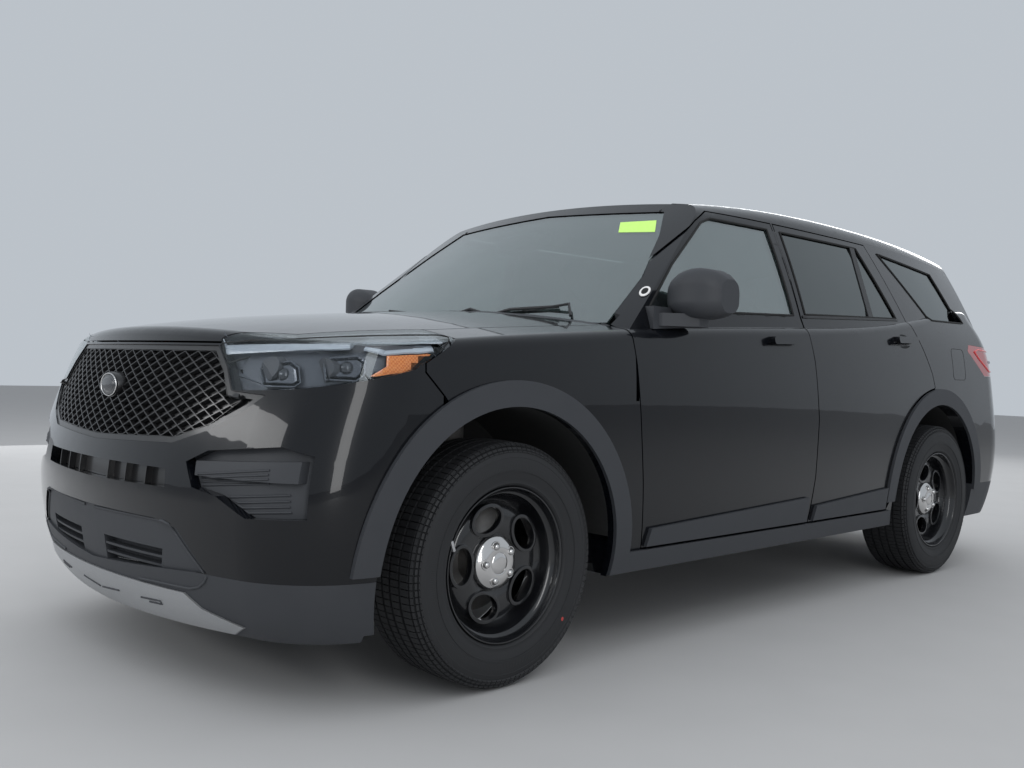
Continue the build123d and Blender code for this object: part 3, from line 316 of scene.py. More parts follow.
def pick_faces(piece, wanted):
    """Enters edit mode with the faces for which wanted(face) is true selected."""
    bpy.ops.object.mode_set(mode="EDIT")
    bpy.ops.mesh.select_mode(type="FACE")
    bpy.ops.mesh.select_all(action="DESELECT")
    mesh = bmesh.from_edit_mesh(piece.data)
    for face in mesh.faces:
        face.select = wanted(face)
    mesh.select_flush_mode()
    bmesh.update_edit_mesh(piece.data)


def twin(piece, name, move):
    """A copy with its own mesh, moved or mirrored by a matrix."""
    copy = piece.copy()
    copy.data = piece.data.copy()
    copy.name = name
    copy.data.transform(move)
    if move.determinant() < 0:
        copy.data.flip_normals()
    bpy.context.collection.objects.link(copy)
    return copy


def select_only(*pieces):
    """Selects these pieces alone and makes the first one active."""
    bpy.ops.object.select_all(action="DESELECT")
    for piece in pieces:
        piece.select_set(True)
    bpy.context.view_layer.objects.active = pieces[0]


def finish_piece(piece, material, smooth=35, body="body_shell"):
    """Shades a piece, gives it its material and slot, and hangs it on a body."""
    select_only(piece)
    bpy.ops.object.shade_smooth_by_angle(angle=radians(smooth))
    piece.data.materials.clear()
    piece.data.materials.append(material)
    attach(piece, body)


LEFT_TO_RIGHT = Matrix.Diagonal((-1, 1, 1, 1))
FRONT_AXLE, REAR_AXLE, HALF_TRACK, WHEEL_Z = -1.6265, 1.3985, 0.851, 0.378
WHEEL_SPOT = (HALF_TRACK, FRONT_AXLE, WHEEL_Z)
TO_REAR = Matrix.Translation((0, REAR_AXLE - FRONT_AXLE, 0))
TREAD_STEPS = 110
TREAD_FLOOR = 0.3700
RIB_EDGES = ((0.064, 0.100), (0.022, 0.056), (-0.014, 0.014), (-0.056, -0.022), (-0.100, -0.064))
RIB_LOW, SHOULDER_LOW, SHOULDER_IN, SHOULDER_OUT = 0.362, 0.3595, 0.100, 0.1105
BLOCK_GAP, BLOCK_HEIGHT = 0.0013, 0.0078
NOTCH, NOTCH_HEIGHT, NOTCH_IN, NOTCH_LOW, NOTCH_HIGH = 0.0022, 0.0042, 0.1108, 0.3460, 0.3585
CROWN_FALL = 0.35
sidewall = [
    (0.1035, 0.2405), (0.1100, 0.2440), (0.1150, 0.2470), (0.1175, 0.2515), (0.1165, 0.2560),
    (0.1190, 0.2640), (0.1225, 0.2760), (0.1245, 0.2860), (0.1262, 0.2865), (0.1268, 0.2900),
    (0.1255, 0.2905), (0.1258, 0.3020), (0.1250, 0.3160), (0.1232, 0.3290), (0.1240, 0.3300),
    (0.1228, 0.3350), (0.1200, 0.3445), (0.1170, 0.3510), (0.1100, 0.3600), (0.1000, 0.3665),
]
crown = [
    (across, TREAD_FLOOR - CROWN_FALL * across ** 2) for edges in RIB_EDGES for across in reversed(edges)
]
section = sidewall + crown[1:-1] + [(-across, radius) for across, radius in reversed(sidewall)]
tyre = lathe("tyre_tread", section, WHEEL_SPOT, TREAD_STEPS)


def from_hub(face):
    """How far a face's middle is across from the wheel's middle plane, and its radius."""
    centre = face.calc_center_median()
    return centre.x - HALF_TRACK, (centre.yz - Vector((FRONT_AXLE, WHEEL_Z))).length


def on_rib(face):
    """True on the ribs and on the blocks of both shoulders."""
    across, radius = from_hub(face)
    rib = any(low < across < high for low, high in RIB_EDGES) and radius > RIB_LOW
    return rib or (SHOULDER_IN < abs(across) < SHOULDER_OUT and radius > SHOULDER_LOW)


def on_shoulder(face):
    """True on the outer faces of the shoulder, below the tread."""
    across, radius = from_hub(face)
    return abs(across) > NOTCH_IN and NOTCH_LOW < radius < NOTCH_HIGH and face.normal.x != 0


pick_faces(tyre, on_rib)
bpy.ops.mesh.inset(thickness=BLOCK_GAP, use_individual=True)
bpy.ops.mesh.extrude_faces_move(TRANSFORM_OT_shrink_fatten={"value": 0.0})
bpy.ops.transform.shrink_fatten(value=BLOCK_HEIGHT)
bpy.ops.object.mode_set(mode="OBJECT")
pick_faces(tyre, on_shoulder)
bpy.ops.mesh.inset(thickness=NOTCH, use_individual=True)
bpy.ops.transform.shrink_fatten(value=NOTCH_HEIGHT)
bpy.ops.object.mode_set(mode="OBJECT")
SIDEWALL_RIBS, RIBS_FROM, RIBS_TO = 300, 0.296, 0.312


def rubber_finish(name, axle):
    """Tyre rubber with fine ribs that fan out from the axle on the sidewall."""
    material, shader, place = new_finish(name)
    hub = place.node("Mapping", {}, {"Vector": place, "Location": (0, -axle, -WHEEL_Z)})
    fan = hub.maths("SINE", hub.maths("ARCTAN2", hub.along("Y"), hub.along("Z")) * SIDEWALL_RIBS)
    flat = hub.node("CombineXYZ", {}, {1: hub.along("Y"), 2: hub.along("Z")})
    radius = hub.node("VectorMath", {"operation": "LENGTH"}, {0: flat}, "Value")
    band = (radius > RIBS_FROM) * (1 - (radius > RIBS_TO))
    dust = place.noise(20, 4)
    fill(
        shader, base_color=dust.blend((0.009, 0.0095, 0.011), (0.017, 0.018, 0.020)),
        roughness=0.55 + dust * 0.2, normal=(fan * band * 0.5 + place.noise(900, 1) * 0.3).bump(0.0004),
    )
    return material


rubber_front = rubber_finish("front tyre rubber", FRONT_AXLE)
rubber_rear = rubber_finish("rear tyre rubber", REAR_AXLE)


def on_all_wheels(piece, material, replaced=None, rear_material=None, smooth=35):
    """Puts a piece modelled at the left front wheel on all four wheels."""
    for end, shift, coat in (("front", Matrix(), material), ("rear", TO_REAR, rear_material or material)):
        for side, flip in (("left", Matrix()), ("right", LEFT_TO_RIGHT)):
            copy = twin(piece, f"{piece.name}_{end}_{side}_fitted", shift @ flip)
            finish_piece(copy, coat, smooth, f"{end}_wheel_{side}")
            if replaced:
                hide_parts(f"{replaced}_{end}_{side}")
    bpy.data.objects.remove(piece)


on_all_wheels(tyre, rubber_front, "tyre", rubber_rear, 30)

# Wheels: pressed steel, welded to a rolled rim and sprayed satin black. Five hand holes
# stand between broad spokes, each with a rolled lip.
rim_paint = mottled(
    "satin black wheel enamel", (0.005, 0.0055, 0.007), (0.008, 0.0085, 0.010), (60, 2), 0.20, (60, 2, 0.04),
    (500, 1, 0.00001), coat_weight=0.6, coat_roughness=0.08,
)
WHEEL_STEPS, HAND_HOLES = 120, 5
rim_section = [
    (0.108, 0.2400), (0.112, 0.2385), (0.112, 0.2350), (0.104, 0.2320), (0.090, 0.2290), (0.082, 0.2230),
    (0.078, 0.2160), (0.066, 0.2120), (0.050, 0.2100), (0.040, 0.2040), (0.030, 0.1960), (0.026, 0.1900),
    (0.034, 0.1850), (0.045, 0.1800), (0.052, 0.1720), (0.055, 0.1600), (0.057, 0.1450), (0.058, 0.1200),
    (0.056, 0.1000), (0.052, 0.0900), (0.048, 0.0780), (0.046, 0.0300), (0.036, 0.0300), (0.036, 0.0800),
    (0.044, 0.1000), (0.045, 0.1500), (0.040, 0.1720), (0.012, 0.1880), (0.012, 0.2040), (0.030, 0.2140),
    (0.060, 0.2200), (0.072, 0.2320), (-0.060, 0.2320), (-0.100, 0.2340), (-0.110, 0.2380), (-0.112, 0.2400),
    (-0.108, 0.2400), (-0.096, 0.2370), (0.096, 0.2370), (0.108, 0.2400),
]
wheel = lathe("steel_wheel", rim_section, WHEEL_SPOT, WHEEL_STEPS)
HOLE_CENTRE, HOLE_LONG, HOLE_WIDE, HOLE_TURN, LIP = 0.1400, 0.0560, 0.0385, radians(17), 0.0105
HOLE_REACH, LIP_REACH = (0.020, 0.090), (0.040, 0.0640)


def oval_ring(name, grow, x0, x1):
    """Oval plugs round the axle, for the hand holes or their lips."""
    plugs = start(
        name, bpy.ops.mesh.primitive_cylinder_add, (HOLE_WIDE + grow, HOLE_LONG + grow, 1), vertices=40,
        radius=1, depth=x1 - x0, rotation=(0, pi / 2, 0),
        location=((x0 + x1) / 2 + HALF_TRACK, 0, HOLE_CENTRE),
    )
    bpy.ops.object.mode_set(mode="EDIT")
    bpy.ops.mesh.select_all(action="SELECT")
    bpy.ops.mesh.spin(steps=HAND_HOLES, angle=2 * pi, center=(HALF_TRACK, 0, 0), axis=(1, 0, 0), dupli=True)
    bpy.ops.mesh.select_all(action="SELECT")
    bpy.ops.mesh.remove_doubles(threshold=0.0001)
    bpy.ops.object.mode_set(mode="OBJECT")
    turned = Matrix.Rotation(HOLE_TURN, 4, "X")
    plugs.data.transform(Matrix.Translation((0, FRONT_AXLE, WHEEL_Z)) @ turned)
    return plugs


def apply_change(piece, kind, **settings):
    """Adds a modifier with its settings and applies it."""
    bpy.context.view_layer.objects.active = piece
    change = piece.modifiers.new("change", kind)
    for name, value in settings.items():
        setattr(change, name, value)
    bpy.ops.object.modifier_apply(modifier=change.name)


def combine(piece, tool, operation):
    """Applies a boolean with a tool, which is then thrown away."""
    apply_change(piece, "BOOLEAN", operation=operation, solver="EXACT", object=tool)
    bpy.data.objects.remove(tool)


def bevel_edges(piece, width, segments=2, angle=35):
    """Rounds the sharp edges of a finished form."""
    apply_change(
        piece, "BEVEL", width=width, segments=segments, limit_method="ANGLE", angle_limit=radians(angle),
    )


combine(wheel, oval_ring("lips", LIP, *LIP_REACH), "UNION")
combine(wheel, oval_ring("holes", 0, *HOLE_REACH), "DIFFERENCE")
bevel_edges(wheel, 0.0022, 2, 50)
on_all_wheels(wheel, rim_paint, "wheel")

# Brake discs: turned cast iron behind the hand holes.
disc_iron = mottled(
    "turned brake iron", (0.30, 0.29, 0.28), (0.42, 0.41, 0.40), (60, 3), 0.34, (90, 2, 0.1), metallic=0.9,
)
disc_section = [
    (0.040, 0.0), (0.040, 0.076), (-0.030, 0.078), (-0.034, 0.092), (-0.034, 0.164), (-0.038, 0.166),
    (-0.058, 0.166), (-0.062, 0.164), (-0.062, 0.030), (-0.100, 0.027), (-0.100, 0.0),
]
on_all_wheels(lathe("brake_disc", disc_section, WHEEL_SPOT, 90), disc_iron)

# Hub caps: bright steel domes clipped over the wheel bolts, with a bump for each bolt.
chrome = mottled(
    "polished chrome", (0.62, 0.61, 0.60), (0.74, 0.73, 0.72), (12, 2), 0.07, (40, 2, 0.06), metallic=1.0,
)
cap_section = [
    (0.050, 0.0840), (0.056, 0.0850), (0.062, 0.0835), (0.0645, 0.0790), (0.0720, 0.0700), (0.0770, 0.0560),
    (0.0790, 0.0440), (0.0770, 0.0330), (0.0800, 0.0300), (0.0815, 0.0180), (0.0820, 0.0),
]
BOLT_CIRCLE, BOLT_REACH, BOLT_RADIUS = 0.055, 0.0765, 0.0115
RING_REACH, RING_RADIUS, RING_WIRE = 0.0755, 0.0155, 0.0022


def joined_pieces(name, pieces):
    """Several pieces made into one."""
    select_only(*pieces)
    bpy.ops.object.join()
    pieces[0].name = name
    return pieces[0]


cap = [lathe("hub_cap", cap_section, WHEEL_SPOT, 80)]
for bolt in range(HAND_HOLES):
    angle = 2 * pi * bolt / HAND_HOLES - HOLE_TURN
    y, z = FRONT_AXLE + BOLT_CIRCLE * sin(angle), WHEEL_Z + BOLT_CIRCLE * cos(angle)
    cap.append(start(
        "knob", bpy.ops.mesh.primitive_uv_sphere_add, segments=20, ring_count=10, radius=BOLT_RADIUS,
        location=(HALF_TRACK + BOLT_REACH, y, z), rotation=(0, pi / 2, 0),
    ))
    cap.append(start(
        "ring", bpy.ops.mesh.primitive_torus_add, major_segments=28, minor_segments=8,
        major_radius=RING_RADIUS, minor_radius=RING_WIRE, location=(HALF_TRACK + RING_REACH, y, z),
        rotation=(0, pi / 2, 0),
    ))
on_all_wheels(joined_pieces("hub_cap", cap), chrome, smooth=50)

# Balance weight and inspection dot: a zinc clip hooked over the front left rim, and a
# spot of red paint that the tyre fitter left on the sidewall.
zinc = mottled("zinc weight", (0.45, 0.45, 0.46), (0.60, 0.60, 0.61), (200, 2), 0.4, metallic=0.8)
CLIP_SPOT, CLIP_SIZE, CLIP_TURN = (0.1095, -0.2205, 0.0790), (0.012, 0.034, 0.010), radians(-70)
DOT_SPOT, DOT_HALF = (0.1245, 0.2376, -0.1960), (0.0015, 0.0075, 0.0085)
clip = start(
    "balance_weight", bpy.ops.mesh.primitive_cube_add, CLIP_SIZE, size=1, rotation=(CLIP_TURN, 0, 0),
    location=Vector(WHEEL_SPOT) + Vector(CLIP_SPOT),
)
bevel_edges(clip, 0.003, 3)
finish_piece(clip, zinc, body="front_wheel_left")
dot_red = mottled("red paint spot", (0.35, 0.03, 0.03), (0.50, 0.06, 0.05), (300, 2), 0.6)
dot = start(
    "paint_spot", bpy.ops.mesh.primitive_uv_sphere_add, DOT_HALF, segments=24, ring_count=12, radius=1,
    location=Vector(WHEEL_SPOT) + Vector(DOT_SPOT),
)
finish_piece(dot, dot_red, 60, body="front_wheel_left")

# Grille mesh: one moulding of crossed bars with slanted cell walls, black and a little glossy,
# on the backing plate inside the painted nose.
GRILLE_HALF = (
    (0.0, 1.001), (0.478, 1.001), (0.548, 0.944), (0.594, 0.880), (0.664, 0.874), (0.570, 0.797),
    (0.434, 0.752), (0.0, 0.737),
)
CELL_WIDE, CELL_HIGH, CELL_MIDDLE, CELL_ROWS = 0.062, 0.033, 0.868, range(-16, 20)
BAR_EDGE, CELL_SLOPE, CELL_DEPTH = 0.0021, 0.0052, -0.0125
MESH_PROUD = 0.017


def surface_of(*names):
    """A search tree over CAD nodes, which sit at the origin."""
    points, faces = [], []
    for name in names:
        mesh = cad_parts[name].data
        faces += [[len(points) + index for index in face.vertices] for face in mesh.polygons]
        points += [vertex.co.copy() for vertex in mesh.vertices]
    return BVHTree.FromPolygons(points, faces)


def lay_on(piece, tree, toward, gap):
    """Moves each vertex along a direction on to a surface, and then back by a gap."""
    ray = Vector(toward)
    for vertex in piece.data.vertices:
        hit = tree.ray_cast(vertex.co - ray * 3, ray)[0]
        if hit:
            vertex.co = hit - ray * gap


def slice_all(spot, facing):
    """Cuts the whole of the mesh being edited along a plane."""
    bpy.ops.mesh.select_all(action="SELECT")
    bpy.ops.mesh.bisect(plane_co=spot, plane_no=facing)


outline = [*GRILLE_HALF, *((-x, z) for x, z in GRILLE_HALF[-2:0:-1])]
mesh_piece = run_line("grille_mesh", [(x, 0, z) for x, z in outline])
bpy.ops.mesh.select_all(action="SELECT")
bpy.ops.mesh.edge_face_add()
slope = Vector((CELL_HIGH, 0, CELL_WIDE)).normalized()
for row in CELL_ROWS:
    for sense in (-1, 1):
        slice_all((0, 0, CELL_MIDDLE + CELL_HIGH * (row + 0.5)), (slope.x * sense, 0, slope.z))
bpy.ops.mesh.select_all(action="SELECT")
bpy.ops.mesh.remove_doubles(threshold=0.003)
bpy.ops.object.mode_set(mode="OBJECT")
lay_on(mesh_piece, surface_of("grille"), (0, 1, 0), MESH_PROUD)
pick_faces(mesh_piece, lambda face: True)
bpy.ops.mesh.normals_make_consistent(inside=False)
if bmesh.from_edit_mesh(mesh_piece.data).faces[:][0].normal.y > 0:
    bpy.ops.mesh.flip_normals()
bpy.ops.mesh.inset(thickness=BAR_EDGE, use_individual=True, use_even_offset=False)
bpy.ops.mesh.inset(thickness=CELL_SLOPE, depth=CELL_DEPTH, use_individual=True, use_even_offset=False)
bpy.ops.mesh.delete(type="FACE")
bpy.ops.object.mode_set(mode="OBJECT")
finish_piece(mesh_piece, mesh_black, 30)

# Badge boss: a bare oval of graphite enamel in a bright ring, on a black foot that stands
# through the mesh; it is clipped to the grille and carries no mark.
BADGE_Z, BADGE_HALF_WIDE, BADGE_HALF_HIGH, BADGE_PROUD = 0.888, 0.060, 0.037, 0.030
graphite = mottled(
    "graphite enamel", (0.020, 0.022, 0.026), (0.030, 0.032, 0.037), (90, 2), 0.22, coat_weight=0.8,
)
badge_front = surface_of("grille").ray_cast(Vector((0, -4, BADGE_Z)), Vector((0, 1, 0)))[0].y - BADGE_PROUD


def oval(name, grow, y0, y1, taper, material, round_off):
    """An upright oval disc from y0 forward to y1, drawn in by a taper at its front."""
    disc = start(
        name, bpy.ops.mesh.primitive_cylinder_add, (BADGE_HALF_WIDE + grow, BADGE_HALF_HIGH + grow, y0 - y1),
        vertices=64, radius=1, depth=1, rotation=(pi / 2, 0, 0), location=(0, (y0 + y1) / 2, BADGE_Z),
    )
    pick_faces(disc, lambda face: face.normal.y < -0.9)
    bpy.ops.transform.resize(value=(taper, 1, taper), center_override=(0, 0, BADGE_Z))
    bpy.ops.mesh.inset(thickness=0.006, depth=0.0)
    bpy.ops.mesh.inset(thickness=0.003, depth=0.0025)
    bpy.ops.object.mode_set(mode="OBJECT")
    bevel_edges(disc, round_off)
    finish_piece(disc, material, 30)


oval("badge_foot", 0.005, badge_front + BADGE_PROUD, badge_front, 0.96, mesh_black, 0.0015)
oval("badge_face", -0.004, badge_front, badge_front - 0.006, 0.9, graphite, 0.001)
badge_ring = start(
    "badge_ring", bpy.ops.mesh.primitive_torus_add, (BADGE_HALF_WIDE - 0.002, BADGE_HALF_HIGH - 0.002, 0.045),
    major_segments=72, minor_segments=10, major_radius=1, minor_radius=0.06, rotation=(pi / 2, 0, 0),
    location=(0, badge_front - 0.004, BADGE_Z),
)
finish_piece(badge_ring, chrome, 60)

# Headlamps: clear covers over grey reflector housings. A pale light guide runs along the top,
# two square projector units sit below it and an amber marker fills the outer corner.
lamp_tree = surface_of("headlamp_lenses")
CAR_AWAY = 3.1
BED_SUNK, GUIDE_SUNK, AMBER_SUNK = 0.034, 0.012, 0.014
SQUARE_SUNK, BALL_SUNK, BALL_RADIUS = 0.020, 0.032, 0.021


def sight(px, py):
    """The direction from the camera through a pixel of the 1024 by 768 photograph."""
    across, up = (px - PHOTO_WIDE / 2) / FOCAL, (PHOTO_HIGH / 2 - py) / FOCAL
    return (forward + across * right + up * top).normalized()


def under(tree, px, py, sink):
    """The point a depth under a surface where the camera sees a pixel, and the surface's normal."""
    ray = sight(px, py)
    hit, normal = tree.ray_cast(EYE, ray)[:2]
    if not hit:
        hit, normal = tree.find_nearest(EYE + ray * CAR_AWAY)[:2]
    if normal.dot(ray) > 0:
        normal = -normal
    return hit - normal * sink, normal


def filled(name, outline, pitch):
    """A flat sheet inside an outline, cut in squares of a pitch so that it can be bent."""
    piece = run_line(name, outline)
    bpy.ops.mesh.select_all(action="SELECT")
    bpy.ops.mesh.edge_face_add()
    for axis in range(3):
        low, high = (pick(point[axis] for point in outline) for pick in (min, max))
        for cut in range(1, int((high - low) / pitch) + 1):
            spot, facing = [0, 0, 0], [0, 0, 0]
            spot[axis], facing[axis] = low + cut * pitch, 1
            slice_all(spot, facing)
    bpy.ops.object.mode_set(mode="OBJECT")
    return piece


def face_outwards(piece):
    """Makes a piece's faces point outwards."""
    pick_faces(piece, lambda face: True)
    bpy.ops.mesh.normals_make_consistent(inside=False)
    bpy.ops.object.mode_set(mode="OBJECT")


def thicken(piece, wall, offset=0.0, round_off=0.0, segments=2):
    """Gives a sheet a wall, and rounds its edges where round_off says so."""
    apply_change(piece, "SOLIDIFY", thickness=wall, offset=offset)
    face_outwards(piece)
    if round_off:
        bevel_edges(piece, round_off, segments)
    return piece


def traced(name, outline, tree, sink, pitch=7.0):
    """A sheet traced in the photograph's pixels and laid a depth under a surface."""
    piece = filled(name, [(px, 0, -py) for px, py in outline], pitch)
    for vertex in piece.data.vertices:
        vertex.co = under(tree, vertex.co.x, -vertex.co.z, sink)[0]
    return piece


def dish(piece, wanted, *insets, **options):
    """Insets the wanted faces step by step, each step by a thickness and a depth."""
    pick_faces(piece, wanted)
    for thickness, depth in insets:
        bpy.ops.mesh.inset(thickness=thickness, depth=depth, **options)
    bpy.ops.object.mode_set(mode="OBJECT")


def on_both_sides(piece, material, smooth=35, bodies="body_shell"):
    """Finishes a left-hand piece and its mirror image; bodies names both with a {}."""
    name = piece.name
    right_piece = twin(piece, f"{name}_right", LEFT_TO_RIGHT)
    piece.name = f"{name}_left"
    finish_piece(piece, material, smooth, bodies.format("left"))
    finish_piece(right_piece, material, smooth, bodies.format("right"))


def tube(name, points, radius, sides=3):
    """A round bead or rod along points, closed where the last point is the first."""
    path = run_line(name, points)
    bpy.ops.mesh.select_all(action="SELECT")
    bpy.ops.mesh.remove_doubles(threshold=0.00005)
    bpy.ops.object.mode_set(mode="OBJECT")
    bpy.ops.object.convert(target="CURVE")
    path = bpy.context.object
    path.data.bevel_depth, path.data.bevel_resolution, path.data.use_fill_caps = radius, sides, True
    bpy.ops.object.convert(target="MESH")
    path = bpy.context.object
    path.name = name
    return path


LAMP_EDGE = (
    (214, 342), (250, 340.5), (300, 338.5), (360, 336), (410, 335), (438, 335), (448, 337), (449, 341),
    (440, 352), (424, 370), (400, 376), (369, 380), (320, 387), (270, 392), (231, 392.5), (225, 386),
)
LIGHT_GUIDE = (
    (217, 344), (300, 341), (370, 338), (410, 337), (440, 337.5), (444, 340), (436, 350), (384, 353.5),
    (372, 349), (358, 345.5), (300, 348.5), (221, 353),
)
AMBER = ((388, 355), (433, 353.5), (424, 366), (404, 372), (376, 376), (371, 375.5), (388, 366))
PROJECTORS = (
    ((258, 384), (255, 366), (262, 360), (288, 358), (296, 364), (298, 380), (291, 385)),
    ((323, 378), (321, 361), (330, 354.5), (358, 352.5), (367, 359), (366, 374), (357, 380)),
)
bed_grey = mottled(
    "satin grey reflector", (0.085, 0.095, 0.112), (0.11, 0.122, 0.14), (40, 2), 0.30, (60, 2, 0.1),
    metallic=0.3,
)
bed = thicken(traced("lamp_bed", LAMP_EDGE, lamp_tree, BED_SUNK), 0.002)
on_both_sides(bed, bed_grey)
guide_white, shader, place = new_finish("pale light guide")
ridges = place.maths("SINE", (place.along("X") + place.along("Y")) * 900)
fill(
    shader, base_color=place.noise(30).blend((0.36, 0.41, 0.46), (0.46, 0.51, 0.56)), roughness=0.18,
    coat_weight=0.6, normal=ridges.bump(0.0003, 0.4),
)
guide = thicken(traced("light_guide", LIGHT_GUIDE, lamp_tree, GUIDE_SUNK), 0.005, round_off=0.001)
on_both_sides(guide, guide_white)
amber, shader, place = new_finish("amber marker lens")
checks = place.node("TexChecker", {}, {"Vector": place, "Scale": 180}, 1)
fill(
    shader, base_color=checks.blend((0.78, 0.20, 0.035), (0.92, 0.33, 0.08)), roughness=0.2, coat_weight=0.6,
    normal=checks.bump(0.0006, 0.5),
)
marker = thicken(traced("amber_marker", AMBER, lamp_tree, AMBER_SUNK), 0.006, round_off=0.001)
on_both_sides(marker, amber)
dark_chrome = mottled(
    "smoked chrome", (0.16, 0.17, 0.19), (0.24, 0.25, 0.27), (50, 2), 0.12, (60, 2, 0.06), metallic=1.0,
)
eye_glass = mottled(
    "projector glass", (0.05, 0.055, 0.065), (0.09, 0.10, 0.11), (50, 2), 0.04, (60, 2, 0.02), metallic=0.6,
    coat_weight=1.0,
)
for number, outline in enumerate(PROJECTORS):
    square = traced(f"projector_frame_{number}", outline, lamp_tree, SQUARE_SUNK, 40)
    dish(square, lambda face: True, (0.004, 0.0), (0.003, 0.008), (0.006, -0.008))
    face_outwards(square)
    on_both_sides(square, dark_chrome, 25)
    middle = [sum(values) / len(outline) for values in zip(*outline)]
    ball = start(
        f"projector_ball_{number}", bpy.ops.mesh.primitive_uv_sphere_add, segments=32, ring_count=16,
        radius=BALL_RADIUS, location=under(lamp_tree, *middle, BALL_SUNK)[0],
    )
    on_both_sides(ball, eye_glass, 60)
seal_black = mottled(
    "black rubber seal", (0.006, 0.006, 0.006), (0.010, 0.010, 0.010), (60, 2), 0.6, (50, 2, 0.1),
)
seal_line = [tuple(under(lamp_tree, px, py, 0.001)[0]) for px, py in (*LAMP_EDGE, LAMP_EDGE[0])]
seal = tube("lamp_seal", seal_line, 0.0032)
on_both_sides(seal, seal_black, 60)

# Nose mouldings: ribs on the blanked fog lamp inserts and the raised bead round the lower
# intake panel, both moulded with their panels, and painted shade for the shallow slots in the
# skid plate: dark charcoal beads on the silver plate where each slot's shade falls.
def stepped(line, pitch=1.0, steps=None):
    """Points along a line of corners, closer than a pitch or in so many steps a stretch."""
    made = []
    for here, there in zip(line, line[1:]):
        count = steps or max(1, int((Vector(there) - Vector(here)).length / pitch))
        made += [
            tuple(start_at + (end_at - start_at) * step / count for start_at, end_at in zip(here, there))
            for step in range(count)
        ]
    return made + [tuple(line[-1])]


def stroke(name, tree, pixels, radius, sides=3):
    """A bead along a line drawn in the photograph's pixels and laid on a surface."""
    points = [tuple(under(tree, *spot, 0.0)[0]) for spot in stepped(pixels, 5.0)]
    return tube(name, points, radius, sides)


FOG_RIBS = (
    ((188.3, 474.5), (269.6, 470.4)), ((187.3, 478.2), (268.6, 475.0)), ((186.9, 482.0), (268.6, 479.4)),
    ((188.3, 485.6), (269.6, 483.8)), ((219.8, 497.5), (290.6, 495.6)), ((229.0, 503.2), (290.6, 501.6)),
    ((233.2, 508.4), (290.6, 507.2)), ((239.0, 513.4), (292.0, 512.8)),
)
bezel_tree = surface_of("fog_bezels")
ribs = [stroke("fog_rib", bezel_tree, line, 0.0034, 2) for line in FOG_RIBS]
on_both_sides(joined_pieces("fog_ribs", ribs), grained, 60)
PANEL_BEAD = (
    (95, 506.5), (120, 512), (162.4, 520.8), (168.5, 524), (173, 529), (187, 550), (202.6, 571),
    (206.4, 577.5), (204.5, 582), (198.8, 587.3), (190, 588.6), (177.7, 586.3), (140, 578),
)
panel_tree = surface_of("lower_grille", "front_fascia", "front_bumper")
on_both_sides(stroke("panel_bead", panel_tree, PANEL_BEAD, 0.0045), grained, 60)
# Painted shade: dark charcoal beads on the silver skid plate, standing for the shade in its shallow slots.
SKID_SLOT_SHADES = (
    ((103.1, 586.4), (119.4, 590.3)), ((141.4, 596.9), (160.5, 600.9), (162.4, 604.2), (150, 601.4)),
)
skid_tree = surface_of("skid_plate")
slots = [stroke("skid_slot", skid_tree, line, 0.0032) for line in SKID_SLOT_SHADES]
on_both_sides(joined_pieces("skid_slots", slots), grained, 60)

# Window surrounds: black rubber seals round every side pane, a satin strip along the waist
# and satin plates over the pillars between the panes.
satin_black = mottled(
    "satin black trim", (0.012, 0.0125, 0.014), (0.018, 0.0185, 0.020), (40, 2), 0.34, (25, 2, 0.06),
)
SIDE_PANES = {
    "front_door": (
        (-0.925, 1.205), (-0.715, 1.388), (-0.450, 1.578), (-0.385, 1.602), (0.010, 1.606), (0.028, 1.240),
    ),
    "rear_door": ((0.132, 1.250), (0.120, 1.606), (0.800, 1.606), (1.000, 1.300), (1.010, 1.282)),
    "body_side": ((1.040, 1.606), (1.690, 1.560), (1.868, 1.305), (1.440, 1.300)),
}
SIDE_BODIES = {"front_door": "front_door_{}", "rear_door": "rear_door_{}", "body_side": "body_shell"}
side_tree = surface_of(
    "front_door_left", "rear_door_left", "body_side_left", "front_door_glass_left", "rear_door_glass_left",
    "quarter_glass",
)


def laid(tree, toward, line, gap=0.0, pitch=0.03):
    """Points along a line of 3-D corners, each moved along a direction on to a surface."""
    ray = Vector(toward)
    hits = [tree.ray_cast(Vector(point) - ray * 3, ray)[0] for point in stepped(line, pitch)]
    return [tuple(hit - ray * gap) for hit in hits if hit]


def ring_on_side(name, points, gap, radius):
    """A bead round a closed Y and Z line, laid on the car's left side."""
    line = [(2, y, z) for y, z in (*points, points[0])]
    return tube(name, laid(side_tree, (-1, 0, 0), line, gap), radius, sides=2)


def side_plate(name, points, wall):
    """A plate inside a Y and Z outline, laid on the car's left side."""
    piece = filled(name, [(2, y, z) for y, z in points], 0.05)
    lay_on(piece, side_tree, (-1, 0, 0), 0.0)
    return thicken(piece, wall, 1.0, wall * 0.35)


for panel, points in SIDE_PANES.items():
    centre = sum((Vector(point) for point in points), Vector((0, 0))) / len(points)
    grown = [tuple(Vector(point) + (Vector(point) - centre).normalized() * 0.004) for point in points]
    seal = ring_on_side(f"{panel}_seal", grown, 0.0005, 0.0048)
    on_both_sides(seal, seal_black, 60, bodies=SIDE_BODIES[panel])
SIDE_PLATES = (
    # door, piece, wall, outline
    ("front_door", "plate", 0.0018, ((0.040, 1.246), (0.086, 1.246), (0.086, 1.606), (0.022, 1.606))),
    ("rear_door", "plate", 0.0018, ((0.102, 1.252), (0.122, 1.252), (0.111, 1.606), (0.102, 1.606))),
    ("front_door", "waist", 0.004, ((-0.935, 1.190), (0.086, 1.229), (0.086, 1.240), (-0.925, 1.203))),
    ("rear_door", "waist", 0.004, ((0.102, 1.230), (1.030, 1.270), (1.024, 1.281), (0.102, 1.242))),
)
for panel, name, wall, points in SIDE_PLATES:
    plate = side_plate(f"{panel}_{name}", points, wall)
    on_both_sides(plate, satin_black, bodies=SIDE_BODIES[panel])

